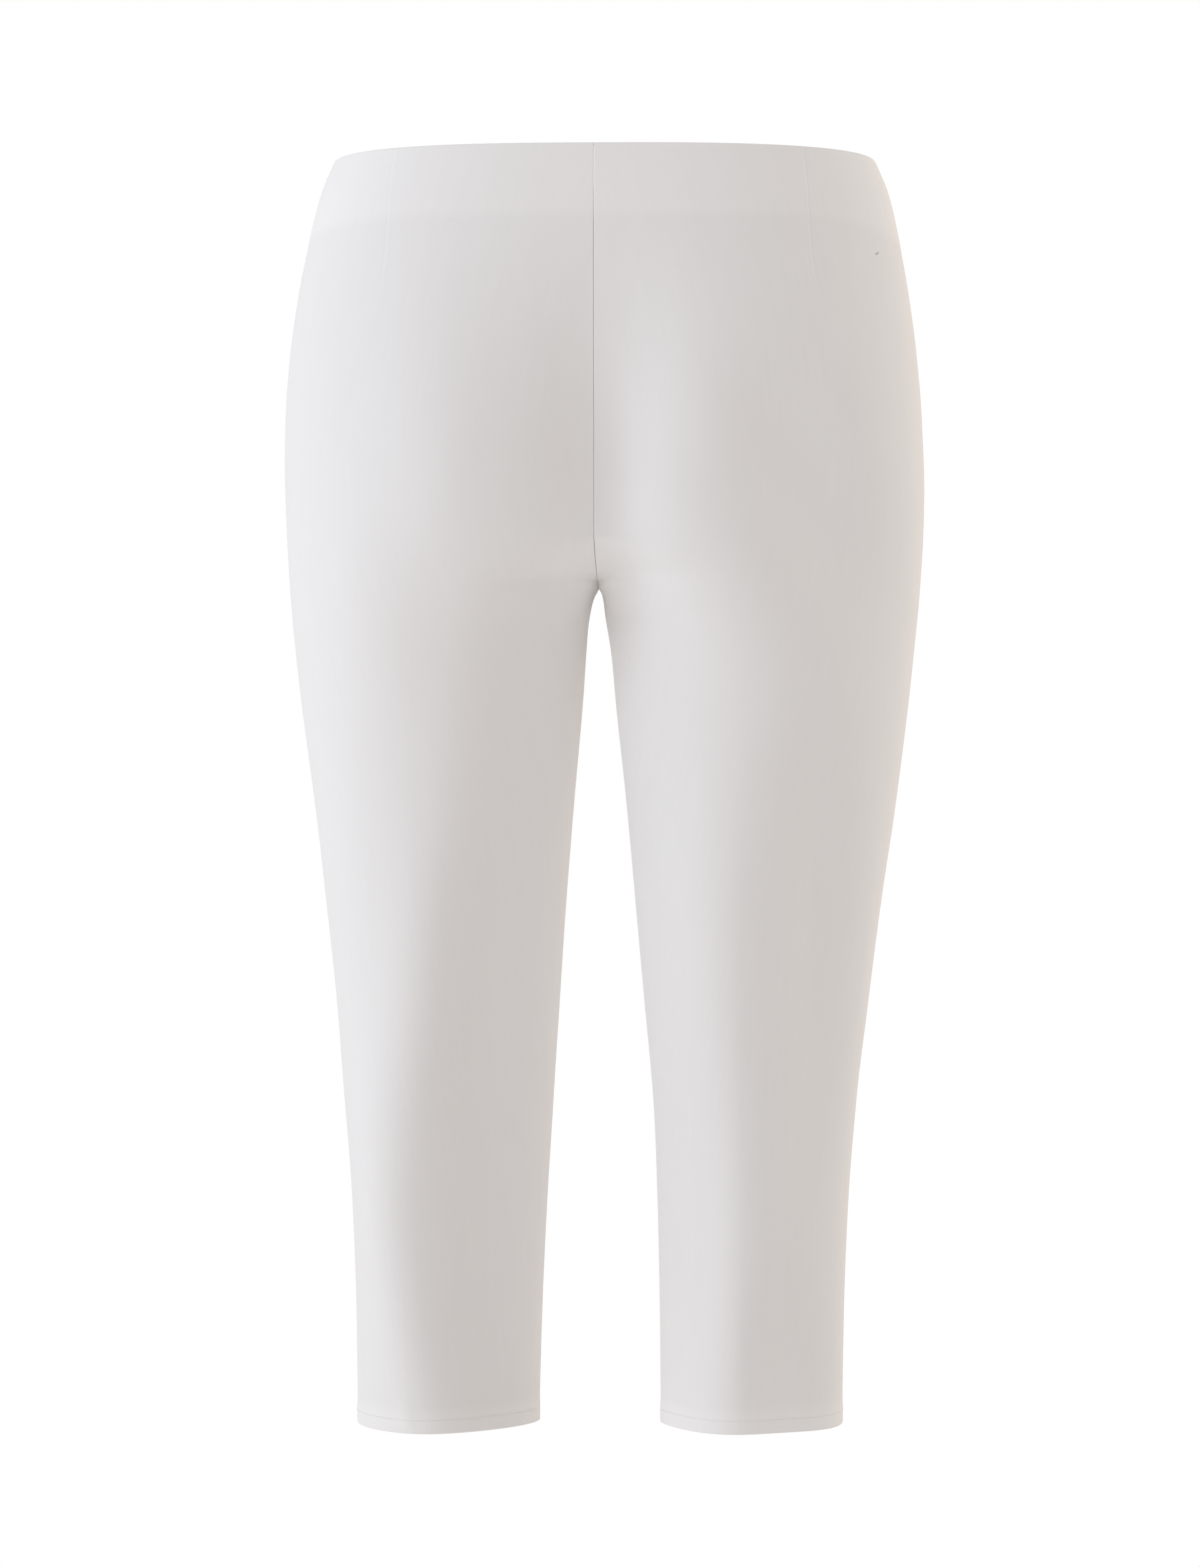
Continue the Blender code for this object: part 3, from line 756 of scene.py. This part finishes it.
def flat_places(sheet):
    """Where each point lies on the flat cloth, across from the side seam and down from the waist."""
    return np.stack([sheet.from_side * (1 if sheet.at_back else -1), -sheet.drop], axis=-1)


def add_panel(sheet):
    outer = sheet.points + sheet.out * small_shapes(sheet)[..., None]
    double = soft_step(sheet.drop, HEM_TOP, HEM_STEP / 2)
    depth = WALL * (1 + double) - roll(LENGTH - sheet.drop, FOLD_ROLL)
    inner = sheet.points - sheet.out * depth[..., None]
    return add_cloth(panel_name(sheet.side, sheet.at_back) + "_cloth", outer, inner, flat_places(sheet))


PANELS = {key: add_panel(sheet) for key, sheet in SHEETS.items()}
for panel in PANELS.values():
    print(panel.name, triangles(panel), "triangles")

# %% [markdown]
# ## Facings
#
# The waist is finished with three facings: strips of the same cloth, sewn on along the waist edge and turned
# inside. Each lies against the inside of its panel, so it is the panel's own top rows, moved in by one wall.

# %% Facings
FACING_PANELS = [[(-1, True)], [(1, True)], [(-1, False), (1, False)]]


def facing_grids(sheet):
    rows = int(np.searchsorted(DROPS, FACING_DEPTH)) + 1
    points, out = sheet.points[:rows].copy(), sheet.out[:rows]
    points[:, :, 2] -= FACING_TOP * (1 - DROPS[:rows, None] / FACING_DEPTH)
    depth = WALL + SEAM_GAP
    return points - out * depth, points - out * (depth + WALL), flat_places(sheet)[:rows]


def add_facing(name, *sheets):
    """A facing from one panel's sheet, or from the two fronts' sheets joined at the centre."""
    parts = [facing_grids(sheet) for sheet in sheets]
    if len(parts) == 2:
        parts = [[np.concatenate([a, b[:, ::-1]], axis=1) for a, b in zip(*parts)]]
    return add_cloth(name, *parts[0])


FACING_NAMES = ["facing_back_left_cloth", "facing_back_right_cloth", "facing_front_cloth"]
FACINGS = [
    add_facing(name, *(SHEETS[key] for key in sides)) for name, sides in zip(FACING_NAMES, FACING_PANELS)
]
for facing in FACINGS:
    print(facing.name, triangles(facing), "triangles")

# %% [markdown]
# ## Seam allowances
#
# Inside, each seam has its two edges pressed to one side and overlocked together. Up the legs and down
# through the waist they are what one sees first. Each is a strip 9 mm wide and two layers thick that follows
# the inside of the panel it is pressed onto, so it is made from the same rows and columns, and reaches a
# little way past the seam.

# %% Seam allowances
ALLOWANCE_ROWS = 2  # every second row is enough
ALLOWANCE_OVER = [7, 4]  # columns of the panel beyond the seam that it reaches
ALLOWANCE_ON = [3, 6, 8, 9, 10, 11]  # columns of the panel that it lies on
ALLOWANCE_WALL = 0.0018
ALLOWANCE_WIDTH = 0.009
ALLOWANCE_LIFT = 0.0002  # off the panel's inner face


def allowance_points(key, columns, rows, lift):
    sheet = SHEETS[key]
    return sheet.points[rows][:, columns] - sheet.out[rows][:, columns] * (WALL + lift)


def add_allowance(seam):
    """A strip along the seam between two panels. It lies on one of them and reaches a little way beyond the
    seam."""
    rows = np.flatnonzero((DROPS > seam.top) & (DROPS < seam.bottom))[::ALLOWANCE_ROWS]
    over, on = (np.array(columns) for columns in (ALLOWANCE_OVER, ALLOWANCE_ON))
    if seam.inner:
        over, on = -1 - over, -1 - on
    faces = []
    for lift in (ALLOWANCE_LIFT, ALLOWANCE_LIFT + ALLOWANCE_WALL):
        beyond = allowance_points(seam.beyond, over, rows, lift)
        lies_on = allowance_points(seam.lies_on, on, rows, lift)
        faces.append(np.concatenate([beyond, lies_on], axis=1))
    across = np.linspace(0, ALLOWANCE_WIDTH, faces[0].shape[1])
    places = np.stack(np.broadcast_arrays(across, -DROPS[rows][:, None]), axis=-1)
    return add_cloth(seam.name + "_allowance", *faces, places)


BELOW_FACING = FACING_DEPTH + 0.002
ABOVE_HEM = HEM_TOP - 0.001
Seam = namedtuple("Seam", "name lies_on beyond inner top bottom")
SEAMS = [
    Seam("side_left", (-1, True), (-1, False), False, BELOW_FACING, ABOVE_HEM),
    Seam("side_right", (1, True), (1, False), False, BELOW_FACING, ABOVE_HEM),
    Seam("inner_left", (-1, True), (-1, False), True, RISE + 0.004, ABOVE_HEM),
    Seam("inner_right", (1, True), (1, False), True, RISE + 0.004, ABOVE_HEM),
    Seam("centre_back", (-1, True), (1, True), True, BELOW_FACING, RISE - 0.006),
    Seam("centre_front", (-1, False), (1, False), True, BELOW_FACING, RISE - 0.006),
]
ALLOWANCES = {seam: add_allowance(seam) for seam in SEAMS}
for strip in ALLOWANCES.values():
    print(strip.name, triangles(strip), "triangles")

# %% [markdown]
# ## A thread on the cloth
#
# A thread is a thin tube along a path. A curve with a bevel would do, but its tube would have to be made a
# mesh again for the export. Here the tube starts as a flat grid. Its points are placed in rings round the
# path, and its first and last side are merged. The path is given as distances across and down a panel and a
# height off it, and is bent onto the finished cloth.

# %% A thread along a path
THREAD_RADIUS = 0.00016
THREAD_SIDES = 5


def on_row(sheet, values, row, across):
    """A row's values at a distance across the panel from its side seam."""
    return [np.interp(across, sheet.from_side[row], values[row, :, axis]) for axis in range(3)]


def on_cloth(key, across, down, lift):
    """Points at distances across a panel and down from the waist, lifted off it, and the way out of the
    cloth."""
    sheet = SHEETS[key]
    row = np.clip(np.searchsorted(DROPS, down) - 1, 0, len(DROPS) - 2)
    share = ((down - DROPS[row]) / (DROPS[row + 1] - DROPS[row]))[:, None]
    found = []
    for values in (sheet.points, sheet.out):
        above = np.array([on_row(sheet, values, r, a) for r, a in zip(row, across)])
        below = np.array([on_row(sheet, values, r + 1, a) for r, a in zip(row, across)])
        found.append(above * (1 - share) + below * share)
    points, out = found
    return points + out * np.asarray(lift)[:, None], out


def add_thread(name, points, out, radius=THREAD_RADIUS):
    """A thin tube along a path, closed round by merging the first and last side of a grid."""
    along = np.gradient(points, axis=0)
    along /= np.linalg.norm(along, axis=1, keepdims=True)
    beside = np.cross(along, out)
    beside /= np.linalg.norm(beside, axis=1, keepdims=True)
    above = np.cross(beside, along)
    angles = np.linspace(0, 2 * math.pi, THREAD_SIDES + 1)[None, :, None]
    rings = points[:, None] + radius * (above[:, None] * np.cos(angles) + beside[:, None] * np.sin(angles))
    bm = bmesh.new()
    grid = bmesh.ops.create_grid(bm, x_segments=THREAD_SIDES, y_segments=len(points) - 1, size=1.0)
    for vert, place in zip(grid["verts"], rings.reshape(-1, 3)):
        vert.co = place
    bmesh.ops.remove_doubles(bm, verts=bm.verts, dist=radius / 100)
    bmesh.ops.holes_fill(bm, edges=[edge for edge in bm.edges if edge.is_boundary], sides=THREAD_SIDES)
    bmesh.ops.recalc_face_normals(bm, faces=bm.faces)
    piece = add_piece(name, bm)
    piece.data.shade_smooth()
    return piece


def panel_width(key, down):
    return np.interp(down, DROPS, SHEETS[key].from_side[:, -1])


print("a thread is", round(2000 * THREAD_RADIUS, 2), "mm thick")

# %% [markdown]
# ## Hem stitches
#
# The hem is held by one line of small stitches, pulled in so that only dimples show. One thread runs along
# it, over the cloth for most of each stitch and through it between two stitches.

# %% Hem stitches
STITCH = 0.0028  # length of one stitch
STITCHES_START = 0.001  # from the side seam

# One stitch: the share of its length, and millimetres off the cloth.
STITCH_PATH = np.array([(0.00, -0.40), (0.10, 0.02), (0.50, 0.08), (0.82, 0.02), (0.92, -0.40)])


def hem_stitches(key):
    length = float(panel_width(key, HEM_LINE)) - 2 * STITCHES_START
    number = round(length / STITCH)
    shares = (np.arange(number)[:, None] + STITCH_PATH[:, 0]).ravel() / number
    lift = np.tile(STITCH_PATH[:, 1], number) / 1000 + HEM_RISE
    across = STITCHES_START + shares * length
    down = np.full(len(across), HEM_LINE)
    return add_thread("hem_stitches_" + panel_name(*key), *on_cloth(key, across, down, lift))


print("hem stitches along a back panel:", round(float(panel_width((1, True), HEM_LINE)) / STITCH))

# %% [markdown]
# ## Overlock
#
# Every cut edge inside is overlocked, so that it can't fray: the hem's, the facings' and the allowances'. A
# machine loops three or four threads round the edge. From a step away one zigzag that dips over the edge
# looks the same, and it needs far fewer faces.

# %% Overlock
ZIGZAG = 0.0024  # from one stitch to the next
OVERLOCK_START = 0.004  # from the ends of an edge
OVERLOCK_WIDTH = 0.0038
PAST_EDGE = 0.0007  # how far the overlock reaches past the edge of a hem or a facing
PAST_ALLOWANCE = 0.0006
ALLOWANCE_START = 0.003  # from the ends of an allowance
OFF_PANEL = 0.0003  # off the face that an allowance lies on
INSIDE = -WALL - THREAD_RADIUS  # on a panel's inner face


def zigzag(start, end):
    """Places along an edge, and for each whether the thread is on the near side of the edge (0) or past it
    (1)."""
    number = round((end - start) / ZIGZAG)
    places = np.linspace(start, end, number * 4 + 1)
    return places, np.tile([0.0, 0.75, 1.0, 0.25], number + 1)[: len(places)]


def edge_overlock(name, key, edge, towards, near_lift, far_lift):
    """Overlock over an edge that runs across a panel. towards is 1 if the double side lies below the edge."""
    places, past = zigzag(OVERLOCK_START, float(panel_width(key, edge)) - OVERLOCK_START)
    down = edge + towards * (OVERLOCK_WIDTH * (1 - past) - PAST_EDGE * past)
    return add_thread(name, *on_cloth(key, places, down, np.where(past > 0.5, far_lift, near_lift)))


def seam_overlock(seam):
    """Overlock over the free edge of a seam allowance."""
    places, past = zigzag(seam.top + ALLOWANCE_START, seam.bottom - ALLOWANCE_START)
    sheet = SHEETS[seam.lies_on]
    last = ALLOWANCE_ON[-1]
    column = sheet.from_inner[:, -1 - last] if seam.inner else sheet.from_side[:, last]
    reach = np.interp(places, DROPS, column) - OVERLOCK_WIDTH * (1 - past) + PAST_ALLOWANCE * past
    across = panel_width(seam.lies_on, places) - reach if seam.inner else reach
    lift = -WALL - OFF_PANEL - ALLOWANCE_WALL * (past <= 0.5)
    return add_thread(seam.name + "_overlock", *on_cloth(seam.lies_on, across, places, lift))


print("mm: an overlock stitch each", 1000 * ZIGZAG, "and", 1000 * OVERLOCK_WIDTH, "deep")

# %% Sew every edge
HEM_THREADS = {}
for key in PANELS:
    overlock = edge_overlock("hem_overlock_" + panel_name(*key), key, HEM_TOP, 1, INSIDE - WALL, INSIDE)
    HEM_THREADS[key] = [hem_stitches(key), overlock]
FACING_OVERLOCK = {
    key: edge_overlock(
        "facing_overlock_" + panel_name(*key), key, FACING_DEPTH, -1, INSIDE - WALL - SEAM_GAP, INSIDE
    )
    for key in PANELS
}
SEAM_OVERLOCK = {seam: seam_overlock(seam) for seam in SEAMS}
THREADS = sum(HEM_THREADS.values(), []) + [*FACING_OVERLOCK.values(), *SEAM_OVERLOCK.values()]
print("threads:", len(THREADS), "with", sum(triangles(thread) for thread in THREADS), "triangles")

# %% [markdown]
# ## A fleck of lint
#
# White cloth shows the smallest fleck. One dark bit of lint, like a small tick, is caught on the right back,
# high up near the side seam. It is a bent thread too, so it is made in the same way.

# %% Lint
LINT_PLACE = (0.0864, 0.0632)  # across from the side seam and down from the waist
LINT_PATH = np.array([(-1.65, -1.215), (-0.825, -0.81), (0, -0.135), (0.825, 0.81), (1.65, 0.135)])  # mm
LINT_LIFT = 0.0004
LINT_RADIUS = 0.00022


def add_lint():
    across, down = (LINT_PLACE + LINT_PATH / 1000).T
    lift = np.full(len(across), LINT_LIFT)
    return add_thread("lint", *on_cloth((1, True), across, down, lift), radius=LINT_RADIUS)


LINT = add_lint()
print("lint:", triangles(LINT), "triangles")

# %% [markdown]
# ## Materials
#
# The cloth is one firm white weave. Close up it has a fine upright grain, because stretch yarns run across
# and show less than the yarns that run up. Where it is double, at the facing and at the hem, less light is
# lost through it, so it looks a shade whiter. The pattern follows each piece's own flat coordinates in
# metres, so it bends with the cloth.

# %% Nodes that the finishes share
Streaks = namedtuple("Streaks", "across along strength")


def new_material(name, roughness):
    material = bpy.data.materials.new(name)
    material.use_nodes = True
    finish = material.node_tree.nodes["Principled BSDF"]
    finish.inputs["Roughness"].default_value = roughness
    return material, material.node_tree, finish


def add_node(nodes, kind, **settings):
    node = nodes.new("ShaderNode" + kind)
    for name, value in settings.items():
        setattr(node, name, value)
    return node


def maths(tree, operation, first, second):
    """A math node on two values or sockets; it gives its output socket."""
    node = add_node(tree.nodes, "Math", operation=operation)
    for socket, value in zip(node.inputs, (first, second)):
        if isinstance(value, (int, float)):
            socket.default_value = value
        else:
            tree.links.new(value, socket)
    return node.outputs[0]


def streaks(tree, places, sizes):
    """Noise that is drawn out along the cloth and varies about 0."""
    stretch = add_node(tree.nodes, "Mapping")
    stretch.inputs["Scale"].default_value = (1 / sizes.across, 1 / sizes.along, 1)
    noise = add_node(tree.nodes, "TexNoise")
    noise.inputs["Scale"].default_value = 1.0
    noise.inputs["Detail"].default_value = 2.0
    tree.links.new(places, stretch.inputs["Vector"])
    tree.links.new(stretch.outputs["Vector"], noise.inputs["Vector"])
    return maths(tree, "MULTIPLY", maths(tree, "SUBTRACT", noise.outputs["Fac"], 0.5), sizes.strength)


def wave(tree, value, period):
    """A wave from -1 to 1 with a period in metres."""
    return maths(tree, "SINE", maths(tree, "MULTIPLY", value, 2 * math.pi / period), 0)


def step_between(tree, value, start, end):
    """A soft step from 0 at the start to 1 at the end."""
    step = add_node(tree.nodes, "MapRange", interpolation_type="SMOOTHSTEP")
    step.inputs["From Min"].default_value = start
    step.inputs["From Max"].default_value = end
    tree.links.new(value, step.inputs["Value"])
    return step.outputs["Result"]


def tint_finish(tree, finish, colour, light):
    """The base colour, made lighter or darker by a socket about 1."""
    tint = add_node(tree.nodes, "VectorMath", operation="SCALE")
    tint.inputs[0].default_value = colour
    tree.links.new(light, tint.inputs["Scale"])
    tree.links.new(tint.outputs["Vector"], finish.inputs["Base Color"])


print("streaks are given by", Streaks._fields)

# %% Cloth
FINE_STREAKS = Streaks(0.0022, 0.060, 0.030)
BROAD_STREAKS = Streaks(0.012, 0.050, 0.016)
SLUBS = Streaks(0.0009, 0.0040, 2.0)
YARN_ACROSS, YARN_DOWN = 0.00055, 0.00045  # from one yarn to the next

# The heights between which a second layer comes in: at the facing's lower edge and at the hem's upper one.
LAYERS = [(-FACING_DEPTH - 0.004, -FACING_DEPTH + 0.005), (-HEM_TOP + 0.001, -HEM_TOP - 0.008)]


def cloth_material(name, colour, doubled, weave_depth):
    """doubled is how much whiter the cloth is where it has two layers."""
    material, tree, finish = new_material(name, 0.85)
    places = add_node(tree.nodes, "UVMap", uv_map="cloth").outputs["UV"]
    split = add_node(tree.nodes, "SeparateXYZ")
    tree.links.new(places, split.inputs["Vector"])
    across, down = split.outputs["X"], split.outputs["Y"]

    # brightness: the two layers, and fine and broad streaks of the weave
    layers = maths(tree, "ADD", *(step_between(tree, down, *heights) for heights in LAYERS))
    light = maths(tree, "ADD", 1.0, maths(tree, "MULTIPLY", layers, doubled))
    for sizes in (FINE_STREAKS, BROAD_STREAKS):
        light = maths(tree, "ADD", light, streaks(tree, places, sizes))
    tint_finish(tree, finish, colour, light)

    # relief: upright yarns crossed by finer ones, and a faint unevenness
    yarns = maths(tree, "MULTIPLY", wave(tree, across, YARN_ACROSS), wave(tree, down, YARN_DOWN))
    relief = maths(tree, "ADD", yarns, streaks(tree, places, SLUBS))
    bump = add_node(tree.nodes, "Bump")
    bump.inputs["Strength"].default_value = 0.5
    bump.inputs["Distance"].default_value = weave_depth
    tree.links.new(relief, bump.inputs["Height"])
    tree.links.new(bump.outputs["Normal"], finish.inputs["Normal"])
    finish.inputs["Specular IOR Level"].default_value = 0.25
    finish.inputs["Sheen Weight"].default_value = 0.05
    finish.inputs["Sheen Roughness"].default_value = 0.6
    return material


STRETCH_CLOTH = cloth_material("stretch_cloth", (0.905, 0.896, 0.887), 0.032, 0.00004)
FACING_CLOTH = cloth_material("facing_cloth", (0.885, 0.875, 0.865), 0.0, 0.00005)
for piece in [*PANELS.values(), *ALLOWANCES.values()]:
    piece.data.materials.append(STRETCH_CLOTH)
for piece in FACINGS:
    piece.data.materials.append(FACING_CLOTH)
print("cloth:", STRETCH_CLOTH.name, "and", FACING_CLOTH.name)

# %% [markdown]
# ## Thread
#
# Spun thread is a little shinier than the cloth, and fine fibres make its colour uneven. A thread has no flat
# coordinates of its own, so the pattern reads the object's.

# %% Thread and lint
FIBRES = Streaks(0.0002, 0.0006, 0.1)


def thread_material(name, colour):
    material, tree, finish = new_material(name, 0.55)
    places = add_node(tree.nodes, "TexCoord").outputs["Object"]
    tint_finish(tree, finish, colour, maths(tree, "ADD", 1.0, streaks(tree, places, FIBRES)))
    return material


SEWING_THREAD = thread_material("sewing_thread", (0.90, 0.89, 0.88))
for thread in THREADS:
    thread.data.materials.append(SEWING_THREAD)
LINT.data.materials.append(thread_material("lint", (0.52, 0.46, 0.46)))
print("materials:", sorted(material.name for material in bpy.data.materials if material.users))

# %% [markdown]
# ## Light, floor and background
#
# White cloth on white reads only if the light has a direction. The room itself gives most of it: it is
# faintly warm, with a brighter wall to the left and a bright floor. A cool soft lamp at the front left is
# the key. One at the right and a warm one at the far right lift the shaded edge, so the darkest band of the
# cloth lies just inside it. The background is plain white where the camera looks straight at it, but gives
# less light than that, or the cloth would wash out. The floor is a pale disc where feet would stand, too low
# for the camera to see from here.

# %% Floor
FLOOR_HEIGHT = -1.06
FLOOR_RADIUS = 0.9


def add_floor():
    bm = bmesh.new()
    bmesh.ops.create_circle(bm, cap_ends=True, segments=96, radius=FLOOR_RADIUS)
    bmesh.ops.translate(bm, verts=bm.verts, vec=(0, 0, FLOOR_HEIGHT))
    floor = add_piece("floor", bm)
    material, tree, finish = new_material("floor_paint", 0.9)
    finish.inputs["Base Color"].default_value = (0.80, 0.79, 0.78, 1)
    floor.data.materials.append(material)
    floor.visible_diffuse = False  # it throws no light back up at the garment


add_floor()
print("height of the floor:", FLOOR_HEIGHT, "m")

# %% Room
ROOM_LIGHT = (0.590, 0.555, 0.535)
WALL_LIGHT = (0.30, 0.30, 0.30)  # added towards the left
FLOOR_LIGHT = (0.20, 0.20, 0.20)  # added towards the floor


def add_room():
    """Light from all round, with more of it from the left and from below. The camera sees plain white."""
    world = bpy.data.worlds.new("room")
    world.use_nodes = True
    nodes, links = world.node_tree.nodes, world.node_tree.links
    split = add_node(nodes, "SeparateXYZ")
    links.new(add_node(nodes, "TexCoord").outputs["Generated"], split.inputs["Vector"])
    room_light = nodes["Background"]
    light = ROOM_LIGHT
    for axis, added in (("X", WALL_LIGHT), ("Z", FLOOR_LIGHT)):
        share = add_node(nodes, "MapRange")
        share.inputs["From Min"].default_value = 0
        share.inputs["From Max"].default_value = -1
        links.new(split.outputs[axis], share.inputs["Value"])
        total = add_node(nodes, "VectorMath", operation="MULTIPLY_ADD")
        total.inputs[0].default_value = added
        links.new(share.outputs["Result"], total.inputs[1])
        if light is ROOM_LIGHT:
            total.inputs[2].default_value = light
        else:
            links.new(light, total.inputs[2])
        light = total.outputs["Vector"]
    links.new(light, room_light.inputs["Color"])
    backdrop = add_node(nodes, "Background")
    backdrop.inputs["Color"].default_value = (1, 1, 1, 1)
    either = add_node(nodes, "MixShader")
    links.new(add_node(nodes, "LightPath").outputs["Is Camera Ray"], either.inputs["Fac"])
    links.new(room_light.outputs["Background"], either.inputs[1])
    links.new(backdrop.outputs["Background"], either.inputs[2])
    links.new(either.outputs["Shader"], nodes["World Output"].inputs["Surface"])
    bpy.context.scene.world = world


add_room()
bpy.context.scene.view_settings.view_transform = "Standard"
print("room light:", ROOM_LIGHT, "seen as plain white")

# %% Lamps
Lamp = namedtuple("Lamp", "name turn height distance width tall power colour")
LAMPS = [
    Lamp("key_light", -60, 0.3, 2.6, 1.2, 2.2, 14.0, (0.80, 1.0, 1.26)),
    Lamp("right_light", 99, 0.7, 2.6, 1.0, 1.8, 13.4, (0.97, 1.0, 0.98)),
    Lamp("warm_light", 145, 0.0, 2.6, 1.0, 2.2, 6.5, (1.9, 1.0, 0.3)),
    Lamp("back_light", 180, -0.4, 2.6, 1.0, 2.2, 21.0, (1.0, 1.0, 1.0)),
]


def add_lamp(lamp):
    """A soft rectangular light that faces the garment. turn is in degrees from the camera's side, to the
    right."""
    data = bpy.data.lights.new(lamp.name, "AREA")
    data.shape = "RECTANGLE"
    data.size, data.size_y = lamp.width, lamp.tall
    data.energy = lamp.power
    data.color = lamp.colour
    light = add_object(lamp.name, data)
    turn = math.radians(lamp.turn)
    light.location = (math.sin(turn) * lamp.distance, -math.cos(turn) * lamp.distance, lamp.height)
    towards = Vector((0, 0, CAMERA_HEIGHT)) - light.location
    light.rotation_euler = towards.to_track_quat("-Z", "Y").to_euler()


for lamp in LAMPS:
    add_lamp(lamp)
print("lamps:", [lamp.name for lamp in LAMPS])

# %% [markdown]
# ## Hand the pieces to the frame
#
# Every piece rides on the one body that the garment is. Each cloth piece takes the place of its plain solid
# and wears its cloth. The facings' cut sizes are listed here: the greatest width and length of what shows,
# and the flat area, because no trouser piece is a rectangle. A panel is widest at the crotch, where it runs
# on under the body. Turned-up hems and seam allowances are not part of these sizes.

# %% Hand-over
Cut = namedtuple("Cut", "width length area")
BACK_FACING_CUT = Cut(0.272, 0.053, 0.0129)
FRONT_FACING_CUT = Cut(0.482, 0.053, 0.0225)


def strips_on(key):
    """The allowances that lie on a panel, and their threads."""
    seams = [seam for seam in SEAMS if seam.lies_on == key]
    return [ALLOWANCES[seam] for seam in seams] + [SEAM_OVERLOCK[seam] for seam in seams]


def hand_over(piece, node, with_pieces):
    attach(piece, BODY)
    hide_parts(node)
    for other in with_pieces:
        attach(other, BODY)


for key, panel in PANELS.items():
    hand_over(panel, panel_name(*key), HEM_THREADS[key] + strips_on(key))
for facing, sides, cut in zip(FACINGS, FACING_PANELS, (BACK_FACING_CUT, BACK_FACING_CUT, FRONT_FACING_CUT)):
    threads = [FACING_OVERLOCK[key] for key in sides]
    hand_over(facing, facing.name.removesuffix("_cloth"), threads)
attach(LINT, BODY)
